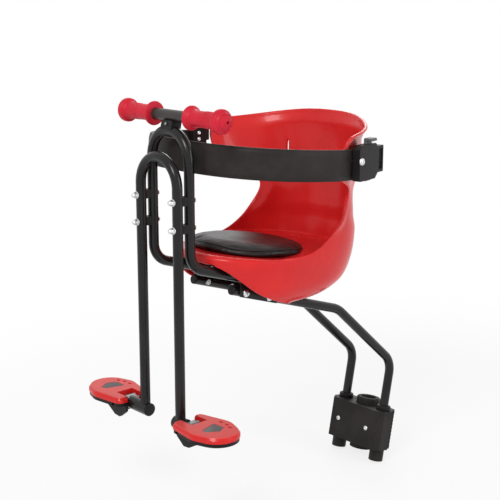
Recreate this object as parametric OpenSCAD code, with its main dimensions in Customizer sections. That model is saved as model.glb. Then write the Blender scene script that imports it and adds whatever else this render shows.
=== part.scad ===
/* [Frame tubes] */
// Outside diameter of the bent steel frame tubes
tube_d = 19; // [17:0.5:21]
// Wall of the bent steel frame tubes
tube_wall = 1.5; // [1:0.1:2.5]
// Distance between the two sides of each frame, centre to centre
frame_w = 106; // [100:1:112]
// Slope of the seat rails, down towards the bike's seat post
rake = 17; // [12:0.5:20]
// Bend radius of the loop where its legs turn into the seat rails
loop_bend_r = 40; // [32:1:46]
// Height of the loop's legs, from the rail's corner to the middle of the arch
loop_leg = 191; // [170:1:210]
// Length of the loop's straight rails under the seat
loop_run = 225; // [205:1:240]
// Distance from the loop forward to the footrest frame
frames_apart = 27; // [25:0.5:30]
// Drop from the loop's arch to the footrest frame's arch
arch_drop = 45; // [35:1:55]
// Length of the footrest legs, from the middle of the arch down to the pedal arms
foot_leg = 434; // [380:1:480]

/* [Seat stays] */
// Length of each seat stay's straight front part, under the seat
tail_l = 298; // [280:1:320]
// How much steeper the seat stays slope than the seat rails
stay_droop = 0.6; // [0:0.1:1.5]
// Distance from the loop's rails down to the seat stays, square to both
tail_drop = 26; // [24:0.5:28]
// Distance from the loop's lower corner back to the stays' front ends
tail_setback = 111; // [100:1:120]
// Length of each stay's steep middle part, corner to corner
steep_l = 226; // [200:1:250]
// Slope of the steep middle part
steep_angle = 41.5; // [36:0.5:46]
// Distance between the two seat stays, centre to centre
stay_w = 110; // [108:1:114]
// Height of the stays' lower corner above the middle of the clamp
elbow_h = 151; // [135:1:168]

/* [Seat-post clamp] */
// Lean of the bike's seat post from the vertical
post_lean = 11; // [8:0.5:14]
// Diameter of the seat post that the clamp holds
post_d = 32; // [28:0.1:33]
// Wall of the rubber liner round the seat post
liner_wall = 10; // [8:0.5:11]
// Height of the clamp block along the post
block_h = 86; // [76:1:96]
// Width of the clamp block
block_w = 148; // [144:1:156]
// Distance from the post's axis forward to the axes of the two stay sockets
socket_ahead = 12; // [10:0.5:14]
// Depth of the block in front of the stay sockets
block_front = 31; // [26:0.5:36]
// Depth of the rear jaw
jaw_depth = 21; // [19:0.5:26]
// Distance between the two clamp bolts
clamp_bolt_w = 81; // [80:0.5:82]

/* [Handlebar] */
// Outside diameter of the child's handlebar
bar_d = 21; // [19:0.5:22]
// Length of the handlebar, grips apart
bar_l = 274; // [250:1:300]
// Height of the handlebar above the top of the loop
bar_lift = 25; // [22:0.5:28]
// Length of each grip
grip_l = 101; // [90:1:110]
// Diameter of the flanges on the grips
grip_flange_d = 44; // [38:1:50]
// Diameter of the grips between their flanges
grip_d = 29; // [27:0.5:32]

/* [Seat shell] */
// Half width of the shell's wings at the top
wing_w = 195; // [188:1:200]
// Half width of the shell at the seat pan
pan_w = 134; // [130:1:140]
// Wall of the moulded shell
shell_wall = 4; // [3:0.5:5]
// Width of the rolled lip round the shell's edge
lip_w = 9; // [6:0.5:12]
// How far the rolled lip stands out from the shell
lip_out = 4; // [2:0.5:6]
// Slope of the seat pan, down towards the back
pan_tilt = 7; // [4:0.5:9]
// Diameter of the round cushion
cushion_d = 222; // [200:1:228]
// Thickness of the cushion at its edge
cushion_h = 13; // [10:0.5:18]

/* [Safety band] */
// Height of the padded band round the child
band_h = 57; // [45:1:62]
// Thickness of the padded band
band_t = 9; // [8:0.5:12]
// Half width of the band where it meets the wings
band_w = 203; // [198:1:208]
// Slope of the band, down towards the back
band_tilt = 5; // [3:0.5:7]

/* [Pedals] */
// Distance from the middle of the seat to the hinge of the left pedal
hinge_left = 85; // [80:1:95]
// Distance from the middle of the seat to the hinge of the right pedal
hinge_right = 111; // [90:1:125]
// Length of a pedal beyond its hinge
pedal_reach = 107; // [94:1:116]
// Width of a pedal, front to back
pedal_w = 94; // [90:1:102]
// Thickness of a pedal's red top
pedal_top_h = 11; // [9:0.5:13]
// Thickness of a pedal's black base
pedal_base_h = 7; // [6:0.5:10]
// Diameter of the arm across the foot of each leg
arm_d = 25; // [22:0.5:27]
// Diameter of the hinge pins
pin_d = 6; // [5:0.5:8]

/* [Fasteners] */
// Diameter of the bolts through the frames and the clamp
bolt_d = 6; // [5:0.5:7]
// Distance between the two bolts on each side that hold the frames together
frame_bolt_gap = 50; // [44:1:56]

/* [Hidden] */
// Clearance between round parts that fit into each other, on the diameter
fit = 0.4;
// Clearance round a bolt in its hole, on the diameter
bolt_fit = 0.6;
// Gap between faces that only lie side by side
gap = 0.3;
// A cutter reaches this far past the faces it opens
past = 1;
tube_sides = 16;
degrees_a_ring = 15;
half_frame = frame_w / 2;
half_stay = stay_w / 2;
// Bolt head, nut and washer sizes follow the bolt
head_d = bolt_d * 1.75;
head_h = bolt_d * 0.55;
nut_w = bolt_d * 1.92;
nut_h = bolt_d * 0.8;

// Places in the side view, as [depth, height] from the middle of the post clamp
function along(p, angle, l) = [p[0] - l * cos(angle), p[1] + l * sin(angle)];
elbow = [elbow_h * sin(post_lean), elbow_h * cos(post_lean)]
    + socket_ahead * [-cos(post_lean), sin(post_lean)];
knee = along(elbow, steep_angle, steep_l);
stay_rake = rake + stay_droop;
tail = along(knee, stay_rake, tail_l);
rail_corner = along(tail, rake, tail_setback) + tail_drop * [sin(rake), cos(rake)];
loop_y = rail_corner[0];
arch_z = rail_corner[1] + loop_leg;
arch_top_z = arch_z + half_frame;
foot_y = loop_y - frames_apart;
foot_arch_z = arch_z - arch_drop;
arm_z = foot_arch_z - foot_leg;
bar_back = 7;
bar_y = loop_y + bar_back;
bar_z = arch_top_z + bar_lift;
corner_cut = loop_bend_r * tan((90 - rake) / 2);
rail_end = along(rail_corner, rake, -loop_run - corner_cut);
bolt_z = bar_z - 145;

// Matrices that carry a point along a tube as it is bent
function shift(v) = [[1, 0, 0, v[0]], [0, 1, 0, v[1]], [0, 0, 1, v[2]], [0, 0, 0, 1]];
function turn_z(a) = [[cos(a), -sin(a), 0, 0], [sin(a), cos(a), 0, 0], [0, 0, 1, 0], [0, 0, 0, 1]];
function turn_y(a) = [[cos(a), 0, sin(a), 0], [0, 1, 0, 0], [-sin(a), 0, cos(a), 0], [0, 0, 0, 1]];
function turn_x(a) = [[1, 0, 0, 0], [0, cos(a), -sin(a), 0], [0, sin(a), cos(a), 0], [0, 0, 0, 1]];
function bend(side, a, r) =
    turn_z(side) * shift([r * (1 - cos(a)), 0, r * sin(a)]) * turn_y(a) * turn_z(-side);
// A tube is a list of [straight length, side it then bends to, angle, bend radius]
function stations(steps, start, i = 0) = i == len(steps) ? [start] :
    let (s = steps[i], on = start * shift([0, 0, s[0]]), n = ceil(s[2] / degrees_a_ring))
    concat([start],
        n == 0 ? [] : [for (k = [0:n - 1]) on * bend(s[1], s[2] * k / n, s[3])],
        stations(steps, n == 0 ? on : on * bend(s[1], s[2], s[3]), i + 1));
function ring(m, d, n) =
    [for (k = [0:n - 1]) let (p = m * [d / 2 * cos(360 * k / n), d / 2 * sin(360 * k / n), 0, 1])
        [p[0], p[1], p[2]]];

// A bent tube with its open bore, swept through its stations
module swept_tube(places, d, wall, n = tube_sides) {
    m = len(places);
    inner = m * n;
    last = (m - 1) * n;
    points = concat([for (p = places) each ring(p, d, n)], [for (p = places) each ring(p, d - 2 * wall, n)]);
    skin = [for (j = [0:m - 2]) for (k = [0:n - 1])
        let (a = j * n + k, b = j * n + (k + 1) % n, c = inner + a, e = inner + b)
        each [[a, a + n, b], [b, a + n, b + n], [c, e, c + n], [e, e + n, c + n]]];
    ends = [for (k = [0:n - 1]) let (a = k, b = (k + 1) % n)
        each [[a, b, inner + a], [b, inner + b, inner + a],
            [last + a, inner + last + a, last + b], [last + b, inner + last + a, inner + last + b]]];
    polyhedron(points, concat(skin, ends), convexity = 10);
}

// A closed skin through rings of points, from the lowest ring to the highest
module loft(rings) {
    n = len(rings[0]);
    m = len(rings);
    sides = [for (j = [0:m - 2]) for (k = [0:n - 1]) let (a = j * n + k, b = j * n + (k + 1) % n)
        each [[a, a + n, b], [b, a + n, b + n]]];
    ends = [[for (k = [0:n - 1]) k], [for (k = [n - 1:-1:0]) (m - 1) * n + k]];
    polyhedron([for (r = rings) each r], concat(sides, ends), convexity = 10);
}

// Puts what follows at a place in the side view
module at(place) {
    translate([0, place[0], place[1]]) children();
}

module both_sides(x) {
    for (side = [-1, 1]) translate([side * x, 0, 0]) children();
}

module along_x(l, d, faces = 32) {
    rotate([0, 90, 0]) cylinder(h = l, d = d, center = true, $fn = faces);
}

module along_y(l, d, faces = 32) {
    rotate([90, 0, 0]) cylinder(h = l, d = d, center = true, $fn = faces);
}

module hex_nut(bore) {
    difference() {
        cylinder(h = nut_h, d = nut_w, $fn = 6);
        translate([0, 0, -past]) cylinder(h = nut_h + 2 * past, d = bore, $fn = 24);
    }
}

// Front loop: one tube bent into an arch, two legs and two rails under the seat
loop_steps = [[loop_run, 0, 90 - rake, loop_bend_r],
    [loop_leg - corner_cut, 90, 180, half_frame],
    [loop_leg - corner_cut, 0, 90 - rake, loop_bend_r],
    [loop_run, 0, 0, 0]];
rail_start = shift([half_frame, rail_end[0], rail_end[1]]) * turn_x(90 - rake) * turn_z(90);

module frame_bolt_places() {
    for (side = [-1, 1], k = [0, 1])
        translate([side * half_frame, (loop_y + foot_y) / 2, bolt_z - k * frame_bolt_gap]) children();
}

module front_loop() {
    color([0.14, 0.13, 0.13]) difference() {
        swept_tube(stations(loop_steps, rail_start), tube_d, tube_wall);
        frame_bolt_places() along_y(frames_apart + 2 * tube_d, bolt_d + bolt_fit, 16);
    }
}

// Footrest frame: one tube bent into an upside-down U, its ends cut to sit on the pedal arms
foot_steps = [[foot_leg, 90, 180, half_frame], [foot_leg, 0, 0, 0]];

module footrest_frame() {
    color([0.14, 0.13, 0.13]) difference() {
        swept_tube(stations(foot_steps, shift([half_frame, foot_y, arm_z]) * turn_z(90)), tube_d, tube_wall);
        frame_bolt_places() along_y(frames_apart + 2 * tube_d, bolt_d + bolt_fit, 16);
        translate([0, foot_y, arm_z]) along_x(frame_w + 2 * tube_d, arm_d + gap);
    }
}

// Saddle blocks that keep the two frames apart on their bolts
module frame_spacers() {
    block_x = tube_d * 0.72;
    block_z = 16;
    color([0.1, 0.1, 0.1]) frame_bolt_places() difference() {
        cube([block_x, frames_apart - tube_d * 0.4, block_z], center = true);
        for (side = [-1, 1]) translate([0, side * frames_apart / 2, 0])
            cylinder(h = block_z + 2 * past, d = tube_d + gap, center = true, $fn = 48);
        along_y(frames_apart, bolt_d + bolt_fit, 24);
    }
}

bolt_grip = frames_apart + tube_d;

module frame_bolts() {
    shank = bolt_grip + nut_h * 1.5;
    color([0.8, 0.8, 0.8]) frame_bolt_places() translate([0, bolt_grip / 2 + gap / 2, 0]) rotate([90, 0, 0])
        rotate_extrude($fn = 32) polygon([[0, -head_h], [head_d * 0.32, -head_h], [head_d / 2, -head_h * 0.4],
            [head_d / 2, 0], [bolt_d / 2, 0], [bolt_d / 2, shank - 1], [bolt_d / 2 - 1, shank], [0, shank]]);
}

// Closed dome nuts on the front of the footrest legs
module frame_nuts() {
    dome_h = nut_h * 2.4;
    color([0.85, 0.85, 0.85]) frame_bolt_places() translate([0, -bolt_grip / 2 - gap / 2, 0]) rotate([90, 0, 0])
        difference() {
            union() {
                cylinder(h = nut_h, d = nut_w, $fn = 6);
                translate([0, 0, nut_h]) rotate_extrude($fn = 24) polygon([[0, -1], [nut_w * 0.42, -1],
                    for (a = [15:15:75]) [nut_w * 0.42 * cos(a), (dome_h - nut_h) * sin(a)],
                    [0, dome_h - nut_h]]);
            }
            translate([0, 0, -past]) cylinder(h = nut_h * 1.5 + past + 0.6, d = bolt_d + fit / 2, $fn = 24);
        }
}

// Child's handlebar, a short straight tube
module handlebar() {
    color([0.16, 0.15, 0.15]) translate([0, bar_y, bar_z]) rotate([0, 90, 0]) difference() {
        cylinder(h = bar_l, d = bar_d, center = true, $fn = 48);
        cylinder(h = bar_l + 2 * past, d = bar_d - 2 * tube_wall, center = true, $fn = 48);
    }
}

// Saddle between the top of the loop and the handlebar
bracket_w = 30;
module handlebar_bracket() {
    low = arch_top_z + 2;
    high = bar_z - 2;
    color([0.08, 0.08, 0.08]) difference() {
        translate([-bracket_w / 2, 0, 0]) rotate([90, 0, 90]) linear_extrude(bracket_w)
            polygon([[loop_y - 10, low], [loop_y + 13, low], [bar_y + 10, high], [bar_y - 12, high]]);
        translate([0, bar_y, bar_z]) along_x(bracket_w + 2 * past, bar_d + gap, 48);
        translate([0, loop_y, arch_z]) rotate([90, 0, 0]) rotate_extrude($fn = 96)
            translate([half_frame, 0]) circle(d = tube_d + gap, $fn = 32);
        translate([0, bar_y - 10, bar_z - bar_d / 2 - 3]) along_y(14, 3.4, 16);
    }
}

module bracket_screw() {
    color([0.3, 0.3, 0.3]) translate([0, bar_y - 15.9, bar_z - bar_d / 2 - 3]) rotate([-90, 0, 0])
        rotate_extrude($fn = 24) polygon([[0, -2.4], [2, -2.4], [3.2, -1], [3.2, 0], [1.5, 0], [1.5, 8], [0, 9]]);
}

// Closed rubber grip with a flange at each end
module grip() {
    r = grip_d / 2;
    flange = grip_flange_d / 2;
    outer_flange = grip_l - 24;
    bore = (bar_d + fit) / 2;
    depth = bar_l / 2 - grip_start + gap;
    rotate([0, 90, 0]) rotate_extrude($fn = 48)
        polygon([[bore, 0], [flange - 3, 0], [flange, 2.5], [flange, 5], [flange - 3, 7.5], [r + 1.5, 9.5],
            [r, 13], [r, outer_flange - 4], [r + 2, outer_flange - 1], [flange - 2, outer_flange],
            [flange, outer_flange + 3], [flange, outer_flange + 9], [flange - 2, outer_flange + 12],
            [flange * 0.78, outer_flange + 13], [flange * 0.7, outer_flange + 17],
            [flange * 0.5, outer_flange + 21], [flange * 0.28, grip_l - 1], [3.5, grip_l], [2.5, grip_l - 1],
            [2.5, depth + 4], [0, depth + 4], [0, depth], [bore, depth]]);
}

grip_start = bar_l / 2 - grip_l + 14;

module grip_left() {
    color([0.78, 0.13, 0.2]) translate([grip_start, bar_y, bar_z]) grip();
}

module grip_right() {
    color([0.78, 0.13, 0.2]) translate([-grip_start, bar_y, bar_z]) rotate([0, 0, 180]) grip();
}

// Seat stays: from the sockets up, forward and under the seat
tail_turn = steep_angle - stay_rake;
elbow_turn = 90 + post_lean - steep_angle;
elbow_r = 45;
knee_r = 70;
elbow_cut = elbow_r * tan(elbow_turn / 2);
knee_cut = knee_r * tan(tail_turn / 2);
stay_foot_h = block_h / 2 + 20;
stay_steps = [[elbow_h + stay_foot_h - elbow_cut, 0, elbow_turn, elbow_r],
    [steep_l - elbow_cut - knee_cut, 0, tail_turn, knee_r],
    [tail_l - knee_cut, 0, 0, 0]];
module stay() {
    start = turn_x(-post_lean) * shift([0, -socket_ahead, -stay_foot_h]) * turn_z(-90);
    difference() {
        swept_tube(stations(stay_steps, start), tube_d, tube_wall);
        side_bolt_places() along_x(2 * tube_d, bolt_d + bolt_fit, 16);
    }
}

module stay_left() {
    color([0.14, 0.13, 0.13]) translate([half_stay, 0, 0]) stay();
}

module stay_right() {
    color([0.14, 0.13, 0.13]) translate([-half_stay, 0, 0]) stay();
}

// Push-in plastic cap with a thin head, for a tube's open end; it points along +Z
module tube_cap() {
    bore = tube_d - 2 * tube_wall - fit;
    rotate_extrude($fn = 32) polygon([[0, -8], [bore / 2 - 1, -8], [bore / 2, -7], [bore / 2, gap],
        [tube_d / 2, gap], [tube_d / 2, 3], [tube_d / 2 - 2, 5], [0, 5.5]]);
}

module stay_caps() {
    color([0.07, 0.07, 0.07]) both_sides(half_stay) at(tail) rotate([90 - stay_rake, 0, 0]) tube_cap();
}

module rail_caps() {
    color([0.07, 0.07, 0.07]) both_sides(half_frame) at(rail_end) rotate([-90 - rake, 0, 0]) tube_cap();
}

// Flat plates that hang the seat stays from the loop's rails
plate_t = 3;
plate_bolts = [24, 86];
plate_x = max(half_stay, half_frame) + tube_d / 2 + gap / 2;
module side_bolt_places() {
    for (l = plate_bolts) at(along(tail, stay_rake, -l)) children();
}

module side_plate() {
    low = -tube_d / 2;
    high = tail_drop + tube_d / 2;
    at(tail) rotate([-stay_rake, 0, 0]) rotate([90, 0, 90]) linear_extrude(plate_t) difference() {
        offset(r = 3, $fn = 16) offset(delta = -3) polygon([[11, low], [0, high], [112, high], [118, low + 16],
            [109, low]]);
        for (l = plate_bolts) translate([l, 0]) circle(d = bolt_d + bolt_fit, $fn = 24);
    }
    // Pad that takes up the step between the stay and the narrower rail
    at(tail) rotate([-rake, 0, 0]) translate([half_frame + tube_d / 2 + gap - plate_x, 16, tail_drop - 4])
        cube([plate_x - half_frame - tube_d / 2 - gap + 1, 88, 8]);
}

module side_plate_left() {
    color([0.12, 0.11, 0.11]) translate([plate_x, 0, 0]) side_plate();
}

module side_plate_right() {
    color([0.12, 0.11, 0.11]) mirror([1, 0, 0]) translate([plate_x, 0, 0]) side_plate();
}

// Bolts through each plate and stay, with their heads outside
side_grip = plate_x + plate_t - half_stay + tube_d / 2;
module side_plate_bolts() {
    reach = side_grip + gap + nut_h + 2;
    color([0.8, 0.8, 0.8]) for (side = [-1, 1]) side_bolt_places()
        translate([side * (plate_x + plate_t + gap / 2), 0, 0]) rotate([0, side * 90, 0])
            rotate_extrude($fn = 32) polygon([[0, head_h], [head_d * 0.32, head_h], [head_d / 2, head_h * 0.4],
                [head_d / 2, 0], [bolt_d / 2, 0], [bolt_d / 2, -reach + 1], [bolt_d / 2 - 1, -reach], [0, -reach]]);
}

module side_plate_nuts() {
    color([0.8, 0.8, 0.8]) for (side = [-1, 1]) side_bolt_places()
        translate([side * (half_stay - tube_d / 2 - gap / 2), 0, 0]) rotate([0, -side * 90, 0])
            hex_nut(bolt_d + fit / 2);
}

// Places on the seat pan: the pan's upper face falls towards the back from its front edge
pan_front = [loop_y + tube_d / 2 + 3, rail_corner[1] + 20];
function pan_z(y) = pan_front[1] - (y - pan_front[0]) * tan(pan_tilt);
function rail_z(y) = rail_corner[1] - (y - rail_corner[0]) * tan(rake);

// Steel cross bars that lie on the rails and carry the seat pan
crossbar_l = frame_w + 2 * tube_d * 0.5;
crossbar_w = 30;
crossbar_t = 4;
crossbar_rows = [loop_y + 70, loop_y + 180];
seat_bolt_w = 64;
function crossbar_place(y) = [y, rail_z(y)] + (tube_d / 2 + gap / 2) * [sin(rake), cos(rake)];

module crossbar(y) {
    at(crossbar_place(y)) rotate([-rake, 0, 0]) difference() {
        translate([-crossbar_l / 2, -crossbar_w / 2, 0]) cube([crossbar_l, crossbar_w, crossbar_t]);
        both_sides(seat_bolt_w / 2) translate([0, 0, -past])
            cylinder(h = crossbar_t + 2 * past, d = bolt_d + bolt_fit, $fn = 24);
    }
}

module crossbar_front() {
    color([0.15, 0.15, 0.15]) crossbar(crossbar_rows[0]);
}

module crossbar_rear() {
    color([0.15, 0.15, 0.15]) crossbar(crossbar_rows[1]);
}

// Screws up through the cross bars into the bosses under the pan
module seat_bolts() {
    reach = crossbar_t + 12;
    color([0.75, 0.75, 0.75]) for (y = crossbar_rows) at(crossbar_place(y)) rotate([-rake, 0, 0])
        both_sides(seat_bolt_w / 2) translate([0, 0, -gap / 2]) rotate_extrude($fn = 32)
            polygon([[0, -head_h], [head_d * 0.32, -head_h], [head_d / 2, -head_h * 0.4], [head_d / 2, 0],
                [bolt_d / 2, 0], [bolt_d / 2, reach], [0, reach + 2]]);
}

// Seat shell, bottom to top: height, half width, reach back and forward, squareness of the corners
shell_back = 211;
shell_front = 194;
shell_rows = [
    [-120, pan_w - 60, 0.5, 0.66, 2.5],
    [-110, pan_w - 32, 0.7, 0.8, 2.6],
    [-88, pan_w - 14, 0.86, 0.92, 2.8],
    [-56, pan_w - 5, 0.94, 0.98, 2.9],
    [-16, pan_w, 0.97, 1, 3],
    [34, pan_w - 2, 1.005, 0.9, 2.9],
    [80, pan_w - 2, 1.01, 0.85, 2.8],
    [124, (pan_w + wing_w) / 2, 0.99, 0.85, 2.5],
    [164, wing_w - 14, 0.99, 0.85, 2.3],
    [204, wing_w, 0.98, 0.85, 2.15],
    [248, wing_w + 5, 0.97, 0.85, 2.1]];
shell_y = pan_front[0] + shell_front;
shell_points = 48;
rings_a_row = 2;
last_row = len(shell_rows) - 1;
function spline(p, t) = 0.5 * (2 * p[1] + (p[2] - p[0]) * t + (2 * p[0] - 5 * p[1] + 4 * p[2] - p[3]) * t * t
    + (3 * p[1] - p[0] - 3 * p[2] + p[3]) * t * t * t);
function row_between(i, t) = [for (k = [0:4])
    spline([for (j = [i - 1:i + 2]) shell_rows[max(0, min(last_row, j))][k]], t)];
shell_rings = concat([for (i = [0:last_row - 1]) for (j = [0:rings_a_row - 1]) row_between(i, j / rings_a_row)],
    [shell_rows[last_row]]);
function square(v, corner) = sign(v) * pow(abs(v), 2 / corner);
function shell_section(r, inset) = [for (k = [0:shell_points - 1])
    let (c = square(cos(360 * k / shell_points), r[4]), s = square(sin(360 * k / shell_points), r[4]))
    [(r[1] - inset) * c,
        shell_y + s * ((s > 0 ? shell_back * r[2] : shell_front * r[3]) - inset),
        pan_front[1] + r[0]]];

// The shell's outer form, drawn in by inset, from one of its rings up
wing_ring = 12;
module shell_form(inset = 0, first = 0) {
    loft([for (i = [first:len(shell_rings) - 1]) shell_section(shell_rings[i], inset)]);
}

// What the shell keeps in the side view: wings, cutaways, pan and skirt
module shell_side() {
    offset(r = -3, $fn = 24) offset(r = 6, $fn = 24) offset(delta = -3) polygon([for (p = [
        [0, 0], [98, -12], [203, -16], [238, -7], [262, 6], [284, 22], [303, 42], [315, 64], [317, 82],
        [306, 98], [284, 110], [258, 120], [240, 134], [233, 172], [243, 199], [258, 209], [325, 214],
        [370, 223], [400, 232], [430, 235],
        [430, -60], [380, -134], [192, -130], [148, -104], [105, -82], [69, -51], [44, -28], [15, -16], [6, -9], [0, -2]])
        pan_front + p]);
}

module shell_slice(inset = 0, wide = 600) {
    translate([-wide / 2, 0, 0]) rotate([90, 0, 90]) linear_extrude(wide) offset(delta = -inset) shell_side();
}

// Everything above the pan, or below it
module over_pan(y_z_shift) {
    at([pan_front[0], pan_front[1] + y_z_shift]) rotate([-pan_tilt, 0, 0])
        translate([-300, -100, 0]) cube([600, 700, 600]);
}

// Bosses under the pan, each drilled for its screw
module pan_bosses() {
    for (y = crossbar_rows) difference() {
        both_sides(seat_bolt_w / 2) translate([0, y, pan_z(y) - 90]) cylinder(h = 88, d = 20, $fn = 24);
        at(crossbar_place(y)) rotate([-rake, 0, 0]) {
            translate([-100, -60, crossbar_t + gap / 2 - 100]) cube([200, 120, 100]);
            both_sides(seat_bolt_w / 2) cylinder(h = crossbar_t + 16, d = bolt_d + fit / 2, $fn = 24);
        }
    }
}

strap_slot = [4.5, 34];
strap_slot_x = 96;
module seat_shell() {
    belly = pan_front[1] - 130;
    color([0.8, 0.16, 0.16]) difference() {
        union() {
            difference() {
                union() {
                    intersection() {
                        shell_form();
                        shell_slice();
                    }
                    intersection() {
                        shell_form(-lip_out);
                        difference() {
                            shell_slice();
                            shell_slice(lip_w);
                        }
                    }
                }
                intersection() {
                    shell_form(shell_wall);
                    over_pan(0);
                }
                difference() {
                    shell_form(shell_wall);
                    over_pan(-shell_wall);
                    translate([-300, shell_y + 60, belly]) cube([600, 300, 10 + shell_wall]);
                }
            }
            pan_bosses();
        }
        translate([-plate_x - 8, loop_y, belly - 60]) cube([2 * plate_x + 16, 300, 90]);
        for (side = [-1, 1]) translate([side * strap_slot_x, shell_y + 120, pan_front[1] + 132])
            translate([-strap_slot[0] / 2, 0, 0]) cube([strap_slot[0], 200, strap_slot[1]]);
        band_strip(-gap, band_t + gap, band_h + 2 * gap);
    }
}

// Round padded cushion on the pan
cushion_y = shell_y - 24;
module seat_cushion() {
    r = cushion_d / 2;
    color([0.12, 0.1, 0.1]) at([cushion_y, pan_z(cushion_y) + gap]) rotate([-pan_tilt, 0, 0])
        rotate_extrude($fn = 64) polygon([[0, 0], [r - 5, 0], [r, 4], [r, cushion_h - 3], [r - 3, cushion_h + 1],
            [r - 14, cushion_h + 5], [r * 0.6, cushion_h + 8], [0, cushion_h + 9]]);
}

// Safety band: a padded strip bent round the front of the child
band_front = loop_y + tube_d / 2 + 9;
band_back = shell_y + 22;
band_mid_z = bar_z - 72;
band_corner = 2.5;
band_tail = 56;
function band_line(inset, over = 0, n = 36) = concat(
    [[band_w - inset * cos(buckle_turn) - (band_tail + over) * sin(buckle_turn),
        band_back - inset * sin(buckle_turn) + (band_tail + over) * cos(buckle_turn)]],
    [for (k = [0:n]) let (a = 180 * k / n)
        [(band_w - inset) * sign(cos(a)) * pow(abs(cos(a)), 2 / band_corner),
            band_back - (band_back - band_front - inset) * pow(sin(a), 2 / band_corner)]],
    over == 0 ? [] : [[inset - band_w, band_back + over]]);
function backwards(list) = [for (i = [len(list) - 1:-1:0]) list[i]];
module band_strip(outer, inner, h, over = 0) {
    at([band_front, band_mid_z]) rotate([-band_tilt, 0, 0]) translate([0, -band_front, -h / 2])
        linear_extrude(h) polygon(concat(band_line(outer, over), backwards(band_line(inner, over))));
}

core_t = 1.6;
core_h = band_h * 0.62;
module safety_band() {
    mid = band_t / 2;
    color([0.17, 0.16, 0.15]) difference() {
        band_strip(0, band_t, band_h);
        band_strip(mid - core_t / 2 - gap / 2, mid + core_t / 2 + gap / 2, core_h + gap, past);
    }
}

module band_core() {
    mid = band_t / 2;
    color([0.5, 0.5, 0.5]) band_strip(mid - core_t / 2, mid + core_t / 2, core_h);
}

// Where the band's ends meet the wings
band_end_z = band_mid_z - (band_back - band_front) * tan(band_tilt);
module band_end(side) {
    translate([side * (band_w - band_t / 2), band_back, band_end_z]) children();
}

// Right bracket: joins the band's end to the right wing with four rivets
rivet_d = 8;
rivet_step = 12.5;
bracket_t = 16;
rivet_deep = 12;
module rivet_places() {
    for (k = [-1.5:1:1.5]) translate([0, 0, k * rivet_step + 7]) children();
}

module band_bracket() {
    color([0.07, 0.07, 0.08]) difference() {
        intersection() {
            band_end(-1) translate([band_t / 2 + 3 * gap, -30, -band_h / 2 + 2]) cube([bracket_t, 41, band_h + 8]);
            union() {
                shell_form(shell_wall + gap, wing_ring);
                band_end(-1) translate([-50, -50, -100]) cube([100, 54, 200]);
            }
        }
        band_end(-1) rivet_places() translate([bracket_t, -16, 0]) along_x(3 * bracket_t, rivet_d / 2 + fit, 24);
    }
}

module bracket_rivets() {
    color([0.8, 0.8, 0.8]) band_end(-1) rivet_places() translate([band_t / 2 + gap * 4 + bracket_t, -16, 0])
        rotate([0, 90, 0]) rotate_extrude($fn = 24) polygon([[0, -rivet_deep], [rivet_d / 4, -rivet_deep],
            [rivet_d / 4, 0], [rivet_d / 2, 0], [rivet_d * 0.42, 1.4], [rivet_d * 0.2, 2.2], [0, 2.4]]);
}

// Left buckle, in its own frame: +Y runs back along the wing, +X points outwards
buckle_turn = 12;
buckle_y = 38;
buckle_l = 106;
buckle_h = 66;
buckle_t = 16;
module buckle_place() {
    translate([band_w + 1, band_back, band_end_z]) rotate([0, 0, buckle_turn]) children();
}

tab_slot = [7, 22];
tab_y = buckle_y + 40;
rivet_y = buckle_y + 6;
module buckle_housing() {
    color([0.13, 0.12, 0.13]) buckle_place() difference() {
        rotate([90, 0, 90]) linear_extrude(buckle_t) offset(r = 4, $fn = 16) polygon([
            [buckle_y + 4, -buckle_h / 2 + 4], [buckle_y + 4, buckle_h / 2 - 8], [buckle_y + 12, buckle_h / 2 - 4],
            [buckle_l - 12, buckle_h / 2 - 4], [buckle_l - 4, buckle_h / 2 - 12],
            [buckle_l - 4, -buckle_h / 2 + 14], [buckle_l - 14, -buckle_h / 2 + 4]]);
        translate([buckle_t / 2 - tab_slot[0] / 2, tab_y - tab_slot[1] / 2, -buckle_h])
            cube([tab_slot[0], tab_slot[1], 2 * buckle_h]);
        translate([buckle_t - 3, rivet_y, 4]) along_x(buckle_t, rivet_d / 2 + fit, 24);
    }
}

module buckle_rivet() {
    color([0.85, 0.85, 0.85]) buckle_place() translate([buckle_t + gap, rivet_y, 4]) rotate([0, 90, 0])
        rotate_extrude($fn = 32) polygon([[0, -10], [rivet_d / 4, -10], [rivet_d / 4, 0], [rivet_d * 0.7, 0],
            [rivet_d * 0.62, 1.8], [rivet_d * 0.3, 2.8], [0, 3]]);
}

// Block that seats the buckle on the wing, hollowed to the wing's own form
module buckle_base() {
    color([0.1, 0.1, 0.11]) difference() {
        buckle_place() translate([-34, band_tail + 4, -buckle_h / 2 + 8])
            cube([34 - gap, buckle_l - band_tail - 8, buckle_h - 16]);
        shell_form(-gap, wing_ring);
    }
}

// Framed catch behind the housing
module buckle_catch() {
    color([0.11, 0.11, 0.12]) buckle_place() difference() {
        translate([1, buckle_l + gap, -24]) cube([buckle_t - 3, 21, 50]);
        translate([buckle_t - 6, buckle_l + 4, -18]) cube([10, 13, 38]);
    }
}

// Grey release tab: slides in the housing and is lifted by its thumb plate
tab_travel = 8;
module release_tab() {
    t = tab_slot[0] - 2 * gap;
    w = tab_slot[1] - 2 * gap;
    color([0.6, 0.6, 0.6]) buckle_place() translate([buckle_t / 2, tab_y, 0]) {
        translate([-t / 2, -w / 2, -buckle_h / 2 - 3]) cube([t, w, buckle_h + 8]);
        translate([-t / 2, -w / 2, buckle_h / 2 + 5]) cube([t + 11, w, 6]);
    }
}

// Clamp block, with the two stay sockets and the front half of the post bore
module clamp_frame() {
    rotate([-post_lean, 0, 0]) children();
}

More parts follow.
